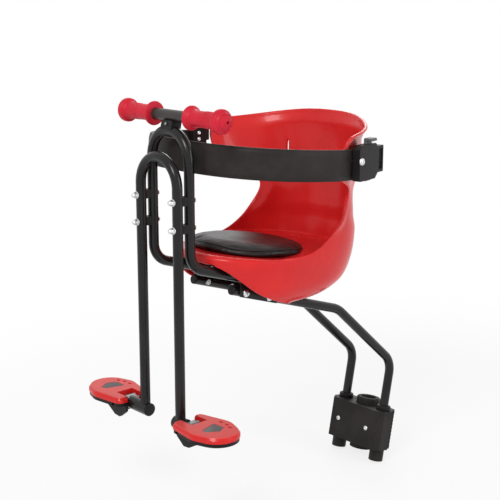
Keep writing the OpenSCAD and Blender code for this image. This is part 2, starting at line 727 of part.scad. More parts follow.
split = 1;
front_face = -socket_ahead - block_front;
post_pocket_d = post_d + 2 * liner_wall;
boss_d = 31;
boss_h = 26;
module block_plan(y0, y1, w, front_cut, rear_cut) {
    polygon([[-w / 2 + front_cut, y0], [w / 2 - front_cut, y0], [w / 2, y0 + 1.4 * front_cut],
        [w / 2, y1 - rear_cut], [w / 2 - rear_cut, y1], [-w / 2 + rear_cut, y1],
        [-w / 2, y1 - rear_cut], [-w / 2, y0 + 1.4 * front_cut]]);
}

module clamp_bolt_places() {
    both_sides(clamp_bolt_w / 2) children();
}

module clamp_block() {
    color([0.17, 0.16, 0.15]) clamp_frame() difference() {
        union() {
            translate([0, 0, -block_h / 2]) linear_extrude(block_h) block_plan(front_face, -split, block_w, 11, 0);
            both_sides(half_stay) translate([0, -socket_ahead, -block_h / 2 - boss_h])
                cylinder(h = boss_h + 5, d = boss_d, $fn = 48);
        }
        cylinder(h = block_h + 2 * past, d = post_pocket_d, center = true, $fn = 64);
        both_sides(half_stay) translate([0, -socket_ahead, -block_h])
            cylinder(h = 2 * block_h, d = tube_d + fit, $fn = 48);
        clamp_bolt_places() along_y(4 * block_front, bolt_d + bolt_fit, 24);
        translate([-block_w, -split, -block_h / 2 - gap]) cube([2 * block_w, boss_d, 2 * block_h]);
    }
}

// Rear jaw, ribbed along its ends
module clamp_jaw() {
    jaw_w = block_w - 14;
    rib_h = 4;
    jaw_r = post_pocket_d / 2 + 6;
    color([0.13, 0.12, 0.12]) clamp_frame() difference() {
        union() {
            translate([0, 0, -block_h / 2]) linear_extrude(block_h) block_plan(split, jaw_depth, jaw_w, 0, 8);
            intersection() {
                cylinder(h = block_h, r = jaw_r, center = true, $fn = 64);
                translate([-jaw_r, split, -block_h]) cube([2 * jaw_r, jaw_r, 2 * block_h]);
            }
        }
        cylinder(h = block_h + 2 * past, d = post_pocket_d, center = true, $fn = 64);
        clamp_bolt_places() along_y(4 * block_front, bolt_d + bolt_fit, 24);
        for (side = [-1, 1], z = [-block_h / 2 + 9:2 * rib_h:block_h / 2 - 9])
            translate([side * jaw_w / 2 - 2, split + 3, z]) cube([4, jaw_depth, rib_h]);
    }
}

// Rubber liner halves round the seat post
liner_l = block_h + 28;
module post_liner(y0, y1) {
    clamp_frame() intersection() {
        rotate_extrude($fn = 64) polygon([[post_d / 2, -liner_l / 2], [post_pocket_d / 2 - gap, -liner_l / 2],
            [post_pocket_d / 2 - gap, liner_l / 2 - 2], [post_pocket_d / 2 - 2, liner_l / 2],
            [post_d / 2, liner_l / 2]]);
        translate([-post_d * 2, y0, -liner_l]) cube([post_d * 4, y1 - y0, 2 * liner_l]);
    }
}

module post_liner_front() {
    color([0.2, 0.2, 0.19]) post_liner(-2 * post_d, -split);
}

module post_liner_rear() {
    color([0.2, 0.2, 0.19]) post_liner(split, 2 * post_d);
}

// Collars round the stays where they enter the block
module socket_collars() {
    collar_h = 10;
    color([0.1, 0.1, 0.1]) clamp_frame() both_sides(half_stay)
        translate([0, -socket_ahead, block_h / 2 + gap / 2]) rotate_extrude($fn = 48)
            polygon([[(tube_d + fit) / 2, 0], [boss_d / 2, 0], [boss_d / 2, collar_h - 2],
                [boss_d / 2 - 2, collar_h], [(tube_d + fit) / 2, collar_h]]);
}

clamp_grip = jaw_depth - front_face;
module clamp_bolts() {
    reach = clamp_grip + nut_h * 1.6;
    color([0.85, 0.85, 0.85]) clamp_frame() clamp_bolt_places() translate([0, front_face - gap / 2, 0])
        rotate([-90, 0, 0]) rotate_extrude($fn = 32) polygon([[0, -head_h], [head_d * 0.32, -head_h],
            [head_d / 2, -head_h * 0.4], [head_d / 2, 0], [bolt_d / 2, 0], [bolt_d / 2, reach - 1],
            [bolt_d / 2 - 1, reach], [0, reach]]);
}

module clamp_nuts() {
    color([0.7, 0.7, 0.7]) clamp_frame() clamp_bolt_places() translate([0, jaw_depth + gap / 2, 0])
        rotate([-90, 0, 0]) hex_nut(bolt_d + fit / 2);
}

// Pedal arms: a cross tube on the foot of each leg
arm_inner = half_frame - 11;
lug_gap = 14;
module pedal_arm(hinge_x) {
    l = hinge_x - lug_gap - arm_inner;
    translate([arm_inner, foot_y, arm_z]) rotate([0, 90, 0]) difference() {
        cylinder(h = l, d = arm_d, $fn = 48);
        translate([0, 0, -past]) cylinder(h = l - 3, d = arm_d - 2 * tube_wall, $fn = 48);
    }
}

module pedal_arm_left() {
    color([0.12, 0.11, 0.11]) pedal_arm(hinge_left);
}

module pedal_arm_right() {
    color([0.12, 0.11, 0.11]) mirror([1, 0, 0]) pedal_arm(hinge_right);
}

module arm_caps() {
    bore = arm_d - 2 * tube_wall - fit;
    color([0.08, 0.08, 0.08]) for (side = [-1, 1]) translate([side * arm_inner, foot_y, arm_z])
        rotate([0, -side * 90, 0]) rotate_extrude($fn = 48) polygon([[0, -7], [bore / 2, -7], [bore / 2, gap],
            [arm_d / 2, gap], [arm_d / 2, 2], [arm_d / 2 - 1.5, 3], [0, 3.5]]);
}

// Hinge lugs: zinc-plated tongues on the outer ends of the arms, in the pedals' notches
lug_w = 22;
lug_r = 10;
lug_y = foot_y + 7;
module hinge_lug() {
    difference() {
        translate([0, lug_w / 2, 0]) rotate([90, 0, 0]) linear_extrude(lug_w) union() {
            circle(r = lug_r, $fn = 32);
            translate([-lug_gap, -lug_r + 2]) square([lug_gap, 2 * lug_r - 4]);
        }
        along_y(lug_w + 2 * past, pin_d + pin_fit, 32);
    }
}

module at_hinge(hinge_x, side) {
    translate([side * hinge_x, lug_y, arm_z]) mirror([side < 0 ? 1 : 0, 0, 0]) children();
}

module hinge_lug_left() {
    color([0.72, 0.73, 0.74]) at_hinge(hinge_left, 1) hinge_lug();
}

module hinge_lug_right() {
    color([0.72, 0.73, 0.74]) at_hinge(hinge_right, -1) hinge_lug();
}

// Pedals, round their hinge: the pin lies along Y and +X points outwards
notch_front = -20.5;
notch_back = 16;
notch_out = 17;
wall_front = 6;
wall_back = 12;
pin_fit = 0.6;
top_z = pedal_top_h + 4;
module pedal_outline() {
    end_r = pedal_w * 0.44;
    mid = -2;
    hull() {
        translate([-6, mid - pedal_w / 2 + 20]) circle(r = 13, $fn = 32);
        translate([-8, mid + pedal_w / 2 - 25]) circle(r = 12, $fn = 32);
        translate([pedal_reach - end_r, mid]) circle(r = end_r, $fn = 48);
        translate([pedal_reach * 0.45, mid]) circle(r = pedal_w / 2, $fn = 48);
    }
}

module notch() {
    translate([-60, notch_front]) square([60 + notch_out, notch_back - notch_front]);
}

module pad_outline(inset = 0) {
    offset(delta = -inset) offset(r = 3, $fn = 16) polygon([[51, -21], [42, 11], [63, 12], [71, -3], [58, -23]]);
}

drain_slots = [[41, 28], [57, 28], [71, 23]];
module pedal_top() {
    translate([0, 0, top_z - pedal_top_h]) difference() {
        hull() {
            linear_extrude(pedal_top_h * 0.5) pedal_outline();
            linear_extrude(pedal_top_h) offset(delta = -4) pedal_outline();
        }
        translate([0, 0, -past]) linear_extrude(pedal_top_h + 2 * past) notch();
        translate([0, 0, pedal_top_h - 2]) linear_extrude(4) pad_outline();
        for (s = drain_slots) translate([s[0], s[1], pedal_top_h - 3]) scale([1.5, 0.8, 1])
            cylinder(h = 10, d = 7, $fn = 24);
    }
}

cheeks = notch_back - notch_front + wall_front + wall_back;
module pedal_base() {
    depth = 29;
    difference() {
        union() {
            translate([0, 0, top_z - pedal_top_h - pedal_base_h - gap / 2]) linear_extrude(pedal_base_h)
                offset(delta = -1.5) pedal_outline();
            translate([0, notch_back + wall_back, 0]) rotate([90, 0, 0]) linear_extrude(cheeks)
                offset(r = 6, $fn = 24) polygon([[-14, -2 - gap], [46, -2 - gap], [40, -6], [14, -depth + 7],
                    [2, -depth + 6], [-14, -11]]);
        }
        translate([0, 0, top_z - pedal_top_h - gap / 2]) translate([-60, -100, 0]) cube([200, 200, 20]);
        translate([0, 0, -depth - 10]) linear_extrude(depth + 30) notch();
        along_y(200, pin_d + pin_fit, 32);
    }
}

module hinge_pin() {
    translate([0, (notch_back + wall_back + notch_front - wall_front) / 2, 0]) along_y(cheeks - 2, pin_d, 32);
}

module hinge_pin_left() {
    color([0.75, 0.75, 0.76]) at_hinge(hinge_left, 1) hinge_pin();
}

module hinge_pin_right() {
    color([0.75, 0.75, 0.76]) at_hinge(hinge_right, -1) hinge_pin();
}

module pedal_top_left() {
    color([0.84, 0.24, 0.22]) at_hinge(hinge_left, 1) pedal_top();
}

module pedal_top_right() {
    color([0.84, 0.24, 0.22]) at_hinge(hinge_right, -1) pedal_top();
}

module pedal_base_left() {
    color([0.12, 0.12, 0.12]) at_hinge(hinge_left, 1) pedal_base();
}

module pedal_base_right() {
    color([0.12, 0.12, 0.12]) at_hinge(hinge_right, -1) pedal_base();
}

module pedal_pad() {
    translate([0, 0, top_z - 2 + gap]) linear_extrude(1.4) pad_outline(gap);
}

module pedal_pad_left() {
    color([0.5, 0.5, 0.5]) at_hinge(hinge_left, 1) pedal_pad();
}

module pedal_pad_right() {
    color([0.5, 0.5, 0.5]) at_hinge(hinge_right, -1) pedal_pad();
}

front_loop();
footrest_frame();
handlebar();
handlebar_bracket();
bracket_screw();
grip_left();
grip_right();
frame_spacers();
frame_bolts();
frame_nuts();
stay_left();
stay_right();
stay_caps();
rail_caps();
side_plate_left();
side_plate_right();
side_plate_bolts();
side_plate_nuts();
crossbar_front();
crossbar_rear();
seat_bolts();
seat_shell();
seat_cushion();
safety_band();
band_core();
band_bracket();
bracket_rivets();
buckle_base();
buckle_housing();
buckle_catch();
release_tab();
buckle_rivet();
clamp_block();
clamp_jaw();
post_liner_front();
post_liner_rear();
socket_collars();
clamp_bolts();
clamp_nuts();
pedal_arm_left();
pedal_arm_right();
arm_caps();
hinge_lug_left();
hinge_lug_right();
hinge_pin_left();
hinge_pin_right();
pedal_top_left();
pedal_top_right();
pedal_base_left();
pedal_base_right();
pedal_pad_left();
pedal_pad_right();
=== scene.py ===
"""Front seat that carries a small child on a bicycle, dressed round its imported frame.

Sizes are in metres and angles in radians unless a name says otherwise. The file follows the seat as it is put
together: frame, handlebar, seat stays, shell, cushion, safety band, buckle, seat-post clamp and pedals.
"""
import math

import bmesh
import bpy
import numpy as np
from mathutils import Matrix, Vector
from mathutils.bvhtree import BVHTree


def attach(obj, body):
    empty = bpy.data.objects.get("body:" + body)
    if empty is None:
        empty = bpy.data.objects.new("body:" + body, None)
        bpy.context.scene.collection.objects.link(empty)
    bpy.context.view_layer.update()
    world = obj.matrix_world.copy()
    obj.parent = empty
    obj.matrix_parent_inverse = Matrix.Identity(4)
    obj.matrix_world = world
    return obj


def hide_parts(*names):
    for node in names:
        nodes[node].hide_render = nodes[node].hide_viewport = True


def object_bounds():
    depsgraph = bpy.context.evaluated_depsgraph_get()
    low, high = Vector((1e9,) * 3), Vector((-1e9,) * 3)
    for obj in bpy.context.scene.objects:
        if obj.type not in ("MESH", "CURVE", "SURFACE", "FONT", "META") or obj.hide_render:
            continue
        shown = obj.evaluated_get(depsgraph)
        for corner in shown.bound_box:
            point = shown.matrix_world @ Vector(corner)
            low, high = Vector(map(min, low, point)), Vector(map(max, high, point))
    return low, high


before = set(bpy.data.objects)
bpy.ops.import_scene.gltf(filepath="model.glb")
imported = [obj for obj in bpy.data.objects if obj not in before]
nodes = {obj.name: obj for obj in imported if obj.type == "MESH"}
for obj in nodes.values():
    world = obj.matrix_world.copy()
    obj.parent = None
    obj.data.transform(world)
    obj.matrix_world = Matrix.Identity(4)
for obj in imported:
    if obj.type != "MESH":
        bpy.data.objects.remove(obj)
cad_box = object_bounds()
MM = 0.001


def new_object(name, data):
    """An object in the scene."""
    made = bpy.data.objects.new(name, data)
    bpy.context.scene.collection.objects.link(made)
    return made


def evaluated_mesh(thing):
    """The mesh that an object's modifiers make."""
    return bpy.data.meshes.new_from_object(thing.evaluated_get(bpy.context.evaluated_depsgraph_get()))


# Camera: stands ahead of the seat on its left, a little above it, as the photograph was taken.
# A long lens from over two metres away keeps the tubes nearly parallel.
camera = new_object("camera", bpy.data.cameras.new("camera"))
camera.data.sensor_width = 36
camera.data.lens = 82.8
camera_right = Vector((0.669131, 0.743145, 0))
camera_up = Vector((-0.167171, 0.150522, 0.974371))
camera_back = Vector((0.724098, -0.651981, 0.224951))
camera.matrix_world = Matrix.Translation((1.6112, -1.7937, 0.9435)) @ Matrix(
    (camera_right, camera_up, camera_back)).transposed().to_4x4()
bpy.context.scene.camera = camera
bpy.context.scene.view_settings.view_transform = "Standard"


# Floor and light: a white studio floor and sky, with three large soft lamps round the seat.
# The floor and the sky are white to the camera and in reflections, and grey where they only light the seat.
class Wire:
    """A value on its way between shader nodes. Sums on it add Math nodes."""

    def __init__(self, tree, socket=None):
        self.tree = tree
        self.socket = socket

    def node(self, kind, settings=None, inputs=None, out=0):
        made = self.tree.nodes.new(kind)
        for name, value in (settings or {}).items():
            setattr(made, name, value)
        for name, value in (inputs or {}).items():
            if isinstance(value, Wire):
                self.tree.links.new(value.socket, made.inputs[name])
            else:
                made.inputs[name].default_value = value
        return Wire(self.tree, made.outputs[out])

    def math(self, operation, *values):
        return self.node("ShaderNodeMath", {"operation": operation}, dict(enumerate(values)))

    def __add__(self, other):
        return self.math("ADD", self, other)

    __radd__ = __add__

    def __mul__(self, other):
        return self.math("MULTIPLY", self, other)

    __rmul__ = __mul__

    def between(self, low, high):
        """0 up to low, 1 from high on, and smooth between them."""
        return self.node("ShaderNodeMapRange", {"interpolation_type": "SMOOTHSTEP"},
                         {"Value": self, "From Min": low, "From Max": high})

    def colours(self, first, second):
        """A colour that goes from first to second as this value goes from 0 to 1."""
        return self.node("ShaderNodeMix", {"data_type": "RGBA"}, {0: self, 6: first, 7: second}, out=2)


def link(wire, shader, socket):
    wire.tree.links.new(wire.socket, shader.inputs[socket])


def colour(red, green, blue):
    """A screen colour from 0 to 255, as the linear colour that a shader takes."""
    return tuple(v / 12.92 if v <= 0.04045 else ((v + 0.055) / 1.055) ** 2.4
                 for v in (red / 255, green / 255, blue / 255)) + (1,)


floor_z = cad_box[0][2] - 1 * MM
floor_mesh = bpy.data.meshes.new("studio_floor")
floor_mesh.from_pydata([(x, y, floor_z) for x, y in ((-9, -9), (9, -9), (9, 9), (-9, 9))], [], [(0, 1, 2, 3)])
floor = new_object("studio_floor", floor_mesh)


def seen_rays(tree):
    """1 for rays from the camera, from mirrors and through glass."""
    direct, mirrored, through = (Wire(tree).node("ShaderNodeLightPath", out=f"Is {kind} Ray")
                                 for kind in ("Camera", "Glossy", "Transmission"))
    return Wire(tree).math("MINIMUM", direct + mirrored + through, 1)


floor_paint = bpy.data.materials.new("floor_white")
floor_paint.use_nodes = True
floor_tree = floor_paint.node_tree
floor_shader = floor_tree.nodes["Principled BSDF"]
floor_shader.inputs["Base Color"].default_value = (0.92, 0.92, 0.92, 1)
floor_shader.inputs["Roughness"].default_value = 1
floor_glow = Wire(floor_tree).node("ShaderNodeEmission", None, {"Color": (1, 1, 1, 1), "Strength": 1.0})
floor_place = Wire(floor_tree).node("ShaderNodeTexCoord", out="Object")
from_seat = floor_place.node("ShaderNodeVectorMath", {"operation": "LENGTH"}, {0: floor_place}, out="Value")
# A fifth of the real floor shows near the seat, so that the seat's shadow is seen, and none further off
floor_mix = Wire(floor_tree).node(
    "ShaderNodeMixShader", None,
    {0: seen_rays(floor_tree) * (0.8 + from_seat.between(0.6, 1.5) * 0.2),
     1: Wire(floor_tree, floor_shader.outputs[0]), 2: floor_glow})
link(floor_mix, floor_tree.nodes["Material Output"], "Surface")
floor_mesh.materials.append(floor_paint)

world = bpy.data.worlds.new("studio")
bpy.context.scene.world = world
world.use_nodes = True
sky_tree = world.node_tree
sky = sky_tree.nodes["Background"]
sky.inputs["Color"].default_value = (1, 1, 1, 1)
sky_light = 0.5
link(sky_light + (1 - sky_light) * seen_rays(sky_tree), sky, "Strength")


def lamp(name, place, aim, width, height, power):
    light = bpy.data.lights.new(name, "AREA")
    light.shape = "RECTANGLE"
    light.size = width
    light.size_y = height
    light.energy = power
    made = new_object(name, light)
    made.location = place
    made.rotation_euler = (Vector(aim) - Vector(place)).to_track_quat("-Z", "Y").to_euler()


seat_middle = (0, -0.33, 0.45)
lamp("key_lamp", (0.9, -2.3, 2.3), seat_middle, 0.9, 0.9, 36)
lamp("side_lamp", (2.4, 0.6, 1.2), seat_middle, 0.7, 1.6, 16)
lamp("back_lamp", (-1.6, 1.6, 2.0), seat_middle, 1.2, 0.8, 16)


# Front loop and footrest frame: two bent steel tubes, bolted back to back, with a satin black powder coat.
# Each is swept through its corners, and every bend has the radius of its bending tool.
rail_end = (-291.36, 373.25)
rail_corner = (-534.83, 447.69)
loop_top = 691.69
foot_y = -561.83
foot_top = 646.69
arm_z = 159.69
half_frame = 53
tube_r = 9.5
tube_wall = 1.5
bore_shown = 14
both = ((1, "left"), (-1, "right"))


def bent_path(corners, radii, turn_a_step=5):
    """Points along a tube that runs straight between corners and bends to a radius at each one inside."""
    points = [np.array(corners[0], float)]
    for i, radius in enumerate(radii, 1):
        before, here, after = (np.array(corners[k], float) for k in (i - 1, i, i + 1))
        into = (here - before) / np.linalg.norm(here - before)
        out = (after - here) / np.linalg.norm(after - here)
        turn = math.acos(np.clip(into @ out, -1, 1))
        start = here - into * radius * math.tan(turn / 2)
        inward = out - into * (into @ out)
        inward /= np.linalg.norm(inward)
        steps = max(2, round(math.degrees(turn) / turn_a_step))
        points += [start + radius * (into * math.sin(turn * k / steps) + inward * (1 - math.cos(turn * k / steps)))
                   for k in range(steps + 1)]
    return np.array(points + [np.array(corners[-1], float)])


def frames_along(path, side):
    """For each point of a path, two directions square to it that don't twist on the way."""
    ahead = np.gradient(path, axis=0)
    ahead /= np.linalg.norm(ahead, axis=1)[:, None]
    across = np.array(side, float)
    sides = []
    for direction in ahead:
        across = across - direction * (across @ direction)
        across /= np.linalg.norm(across)
        sides.append(across)
    return np.array(sides), np.cross(ahead, sides)


def skin(rings, capped=True):
    """Faces through rings of points, with a face on the first ring and the last."""
    count, around = len(rings), len(rings[0])
    faces = [(j * around + k, j * around + (k + 1) % around, (j + 1) * around + (k + 1) % around,
              (j + 1) * around + k) for j in range(count - 1) for k in range(around)]
    if capped:
        faces += [tuple(range(around))[::-1], tuple(range((count - 1) * around, count * around))]
    return np.vstack(rings), faces


def solid_mesh(name, *parts, merge=0.002):
    """A mesh in metres from parts in millimetres, with its doubles merged and its faces pointing out."""
    work = bmesh.new()
    for points, faces in parts:
        corners = [work.verts.new(Vector(p) * MM) for p in points]
        for face in faces:
            work.faces.new([corners[k] for k in face])
    bmesh.ops.remove_doubles(work, verts=work.verts, dist=merge * MM)
    bmesh.ops.recalc_face_normals(work, faces=work.faces)
    mesh = bpy.data.meshes.new(name)
    work.to_mesh(mesh)
    work.free()
    return mesh


def add_piece(name, mesh, paint, slot, *stands_for, body="seat", crease=38):
    """Puts a mesh in the scene as a piece that rides on a body and stands for CAD nodes."""
    mesh.materials.clear()
    mesh.materials.append(paint)
    mesh.shade_smooth()
    mesh.set_sharp_from_angle(angle=math.radians(crease))
    piece = new_object(name, mesh)
    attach(piece, body)
    if stands_for:
        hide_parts(*stands_for)
    return piece


# Paint and plastic mirror less than the shader's usual 0.5, so that black stays black between the lamps
plain_specular = 0.18


def new_paint(name, metallic=0.0, coat=0.0, coat_roughness=0.1):
    """A new material, its shader, and the wire of Object coordinates that its patterns read."""
    paint = bpy.data.materials.new(name)
    paint.use_nodes = True
    shader = paint.node_tree.nodes["Principled BSDF"]
    for socket, value in (("Metallic", metallic), ("Coat Weight", coat), ("Coat Roughness", coat_roughness),
                          ("Specular IOR Level", 0.5 if metallic else plain_specular)):
        shader.inputs[socket].default_value = value
    return paint, shader, Wire(paint.node_tree).node("ShaderNodeTexCoord", out="Object")


def noise(place, size_mm, detail=2.0, rough=0.5):
    """Soft random spots of about size_mm."""
    return place.node("ShaderNodeTexNoise", None,
                      {"Vector": place, "Scale": 1 / (size_mm * MM), "Detail": detail, "Roughness": rough})


def dress(shader, shade, roughness, height, depth_mm):
    """Feeds a shader its colour, its roughness, and a height at which 1 stands depth_mm up."""
    link(shade, shader, "Base Color")
    link(roughness, shader, "Roughness")
    link(height.node("ShaderNodeBump", None, {"Strength": 1.0, "Distance": depth_mm * MM, "Height": height}),
         shader, "Normal")


def coated(name, dark, light, roughness, coat, grain_mm, grain_depth):
    """Coated or moulded stuff: two near shades in broad clouds, a fine grain, and scuffs that dull it."""
    paint, shader, place = new_paint(name, coat=coat)
    clouds = noise(place, 60, 3)
    scuffs = noise(place, 9, 6, 0.7).between(0.56, 0.72)
    dress(shader, (clouds.between(0.35, 0.65) * 0.8 + scuffs * 0.2).colours(colour(*dark), colour(*light)),
          roughness + scuffs * 0.12, noise(place, grain_mm, 3), grain_depth)
    return paint


frame_black = coated("frame_paint", (21, 19, 19), (30, 27, 27), 0.26, 0.22, 1.6, 0.05)


def side_view(x, *places):
    """Points in the side view, as (depth, height), carried out to a width."""
    return [(x, y, z) for y, z in places]


def add_tube(name, node, path, side, is_open=True):
    """A frame tube along a path, standing for a node. Open ends show the tube's wall and a stretch of its bore."""
    across, up = frames_along(path, side)
    angles = np.linspace(0, 2 * math.pi, 32, endpoint=False)

    def ring(i, r, centre=None):
        centre = path[i] if centre is None else centre
        return centre + r * (np.cos(angles)[:, None] * across[i] + np.sin(angles)[:, None] * up[i])

    rings = [ring(i, tube_r) for i in range(len(path))]
    bore = tube_r - tube_wall
    for end, inward in ((0, path[1] - path[0]), (-1, path[-2] - path[-1])) if is_open else ():
        inward = inward / np.linalg.norm(inward)
        extra = [ring(end, bore), ring(end, bore, path[end] + inward * bore_shown)]
        rings = extra[::-1] + rings if end == 0 else rings + extra
    add_piece(name, solid_mesh(name, skin(rings)), frame_black, "frame_paint", node)


loop_corners = side_view(half_frame, rail_end, rail_corner, (rail_corner[0], loop_top)) + side_view(
    -half_frame, (rail_corner[0], loop_top), rail_corner, rail_end)
loop_path = bent_path(loop_corners, (40, half_frame, half_frame, 40))
add_tube("loop_tube", "front_loop", loop_path, (1, 0, 0))
foot_corners = side_view(half_frame, (foot_y, arm_z + 4), (foot_y, foot_top)) + side_view(
    -half_frame, (foot_y, foot_top), (foot_y, arm_z + 4))
add_tube("footrest_tube", "footrest_frame", bent_path(foot_corners, (half_frame, half_frame)), (0, 1, 0),
         is_open=False)


# Frame joints: four bolts clamp the two frames together through plastic saddle blocks, under closed dome nuts.
# The bolts, like all the fasteners, are one turned shape set at each place by Geometry Nodes.
def rounded_copy(name, node, width_mm, paint, slot, body="seat", steps=2, sharp=28, crease=38, top=None):
    """A CAD part with its edges eased, standing for the part. What lies over top, in millimetres, is left off."""
    work = bmesh.new()
    work.from_mesh(nodes[node].data)
    bmesh.ops.remove_doubles(work, verts=work.verts, dist=0.004 * MM)
    bmesh.ops.dissolve_limit(work, angle_limit=math.radians(0.6), verts=work.verts, edges=work.edges)
    if top:
        bmesh.ops.bisect_plane(work, geom=[*work.verts, *work.edges, *work.faces], plane_co=(0, 0, top * MM),
                               plane_no=(0, 0, 1), clear_outer=True)
        bmesh.ops.holes_fill(work, edges=[e for e in work.edges if e.is_boundary])
    edges = [e for e in work.edges if len(e.link_faces) == 2 and e.calc_face_angle() > math.radians(sharp)]
    bmesh.ops.bevel(work, geom=edges, offset=width_mm * MM, offset_type="OFFSET", segments=steps, profile=0.5,
                    affect="EDGES", clamp_overlap=True)
    mesh = bpy.data.meshes.new(name)
    work.to_mesh(mesh)
    work.free()
    piece = add_piece(name, mesh, paint, slot, node, body=body, crease=crease)
    flat = piece.modifiers.new("flat_faces", "WEIGHTED_NORMAL")
    flat.keep_sharp = True
    flat.weight = 100
    flattened = evaluated_mesh(piece)
    piece.modifiers.clear()
    piece.data = flattened


moulded_black = coated("moulded_black", (22, 20, 21), (32, 30, 31), 0.42, 0.0, 0.9, 0.06)
rounded_copy("saddle_blocks", "frame_spacers", 0.8, moulded_black, "plastic_black")


def bright_metal(name, shade, roughness, brushed_mm):
    """Plated steel: fine turned lines, dull patches, and a grey bloom in places."""
    paint, shader, place = new_paint(name, metallic=1.0)
    bloom = noise(place, 5, 4, 0.6).between(0.5, 0.75)
    lines = noise(place, brushed_mm, 2)
    dress(shader, bloom.colours((*shade, 1), (*(0.72 * v for v in shade), 1)),
          roughness + bloom * 0.16 + lines * 0.08, lines, 0.02)
    return paint


zinc = bright_metal("zinc_plate", (0.74, 0.75, 0.77), 0.24, 0.35)


def turned(profile, around=28):
    """A turned solid from its profile of (radius, height), in millimetres, on the Z axis.

    A radius may be an array too, with one value for each direction round the axis.
    """
    angles = np.linspace(0, 2 * math.pi, around, endpoint=False)
    rings = [np.column_stack([r * np.cos(angles), r * np.sin(angles), np.full(around, h)]) for r, h in profile]
    return skin(rings, capped=False)


def setting_tree(name, inputs, parts, links):
    """Geometry Nodes: sets one shape at many points, joins on what else is given, and gives it all a finish.

    inputs and parts name the sockets and the nodes by kind. A link reads "node.output > node.input", and the
    group's own inputs are the node "in".
    """
    tree = bpy.data.node_groups.new(name, "GeometryNodeTree")
    for label, kind in {**inputs, "Finish": "Material"}.items():
        tree.interface.new_socket(label, in_out="INPUT", socket_type=f"NodeSocket{kind}")
    tree.interface.new_socket("Made", in_out="OUTPUT", socket_type="NodeSocketGeometry")
    made = {"in": tree.nodes.new("NodeGroupInput"), "out": tree.nodes.new("NodeGroupOutput")}
    for label, kind in {**parts, "set": "InstanceOnPoints", "real": "RealizeInstances", "join": "JoinGeometry",
                        "dress": "SetMaterial"}.items():
        made[label] = tree.nodes.new(f"GeometryNode{kind}")
    for ends in ["set.Instances > real.Geometry", "real.Geometry > join.Geometry", "join.Geometry > dress.Geometry",
                 "in.Finish > dress.Material", "dress.Geometry > out.Made", *links]:
        (giver, output), (taker, socket) = (end.split(".") for end in ends.split(" > "))
        tree.links.new(made[giver].outputs[output], made[taker].inputs[socket])
    return tree


def run_nodes(name, start_mesh, tree, values):
    """Runs a Geometry Nodes tree on a mesh and returns the plain mesh it makes."""
    holder = new_object(name + "_places", start_mesh)
    modifier = holder.modifiers.new("repeat", "NODES")
    modifier.node_group = tree
    for item in tree.interface.items_tree:
        if item.in_out == "INPUT" and item.name in values:
            modifier[item.identifier] = values[item.name]
    made = evaluated_mesh(holder)
    made.name = name
    bpy.data.objects.remove(holder)
    return made


each_place = setting_tree(
    "set_at_each_place", {"Places": "Geometry", "Shape": "Object", "Turn": "Rotation", "Size": "Float"},
    {"shape": "ObjectInfo"}, ["in.Shape > shape.Object", "in.Places > set.Points", "shape.Geometry > set.Instance",
                              "in.Turn > set.Rotation", "in.Size > set.Scale"])


def fasteners(name, part, places_mm, turn, *stands_for, size=1.0, crease=30):
    """One piece of zinc-plated parts, one at each place. turn is an Euler angle in degrees."""
    shape_mesh = solid_mesh(name + "_shape", part)
    shape_mesh.shade_smooth()
    shape = new_object(name + "_shape", shape_mesh)
    dots = bpy.data.meshes.new(name + "_dots")
    dots.from_pydata([Vector(p) * MM for p in places_mm], [], [])
    made = run_nodes(name, dots, each_place, {"Shape": shape, "Turn": [math.radians(a) for a in turn],
                                              "Size": size, "Finish": zinc})
    bpy.data.objects.remove(shape)
    add_piece(name, made, zinc, "zinc", *stands_for, crease=crease)


bolt_r = 3.0
head_r = 5.25
head_h = 3.3
nut_h = 4.8
seat_gap = 0.15
frame_bolt_heights = (571.69, 521.69)
frames_middle = (rail_corner[0] + foot_y) / 2
bolt_grip = rail_corner[0] - foot_y + 2 * tube_r
frame_bolt_sides = [(side * half_frame, z) for side in (-1, 1) for z in frame_bolt_heights]


def on_shank(head, shank, around=28):
    """A bolt: a head's profile on a shank that points down."""
    return turned([*head, (bolt_r, 0), (bolt_r, -shank + 1), (bolt_r - 1, -shank), (0, -shank)], around)


def socket_head(shank, r=head_r, h=head_h):
    """A bolt whose button head has a hollow in its top."""
    return on_shank([(0, h * 0.35), (r * 0.34, h * 0.35), (r * 0.38, h * 0.95), (r * 0.5, h), (r * 0.75, h * 0.8),
                     (r * 0.94, h * 0.5), (r, h * 0.2), (r, 0)], shank)


def dome_nut():
    """A closed nut: a washer face, a hexagon with eased corners and a dome."""
    hexagon = nut_h * 1.2
    wide = bolt_r * 1.92
    # Each row is a radius, a height, and how far it is drawn in to a hexagon
    rows = [(0, 0, 0), (wide * 1.12, 0, 0), (wide * 1.12, 0.9, 0), (wide * 0.98, 0.95, 1), (wide, 1.4, 1),
            (wide, hexagon - 0.5, 1), (wide * 0.93, hexagon, 0.4)]
    for k in range(7):
        a = math.radians(90 * k / 6)
        rows.append((wide * 0.86 * math.cos(a), hexagon + 0.2 + nut_h * 1.15 * math.sin(a), 0))
    angles = np.linspace(0, 2 * math.pi, 36, endpoint=False)
    # A hexagon's edge stands nearer than its corners by this share
    to_flat = math.cos(math.pi / 6) / np.cos((angles + math.pi / 6) % (math.pi / 3) - math.pi / 6)
    return turned([(r * (1 + six * (to_flat - 1)), h) for r, h, six in rows], around=36)


fasteners("frame_bolt_heads", socket_head(bolt_grip + 4),
          [(x, frames_middle + bolt_grip / 2 + seat_gap, z) for x, z in frame_bolt_sides], (-90, 0, 0), "frame_bolts")
fasteners("frame_dome_nuts", dome_nut(),
          [(x, frames_middle - bolt_grip / 2 - seat_gap, z) for x, z in frame_bolt_sides], (90, 0, 0), "frame_nuts")

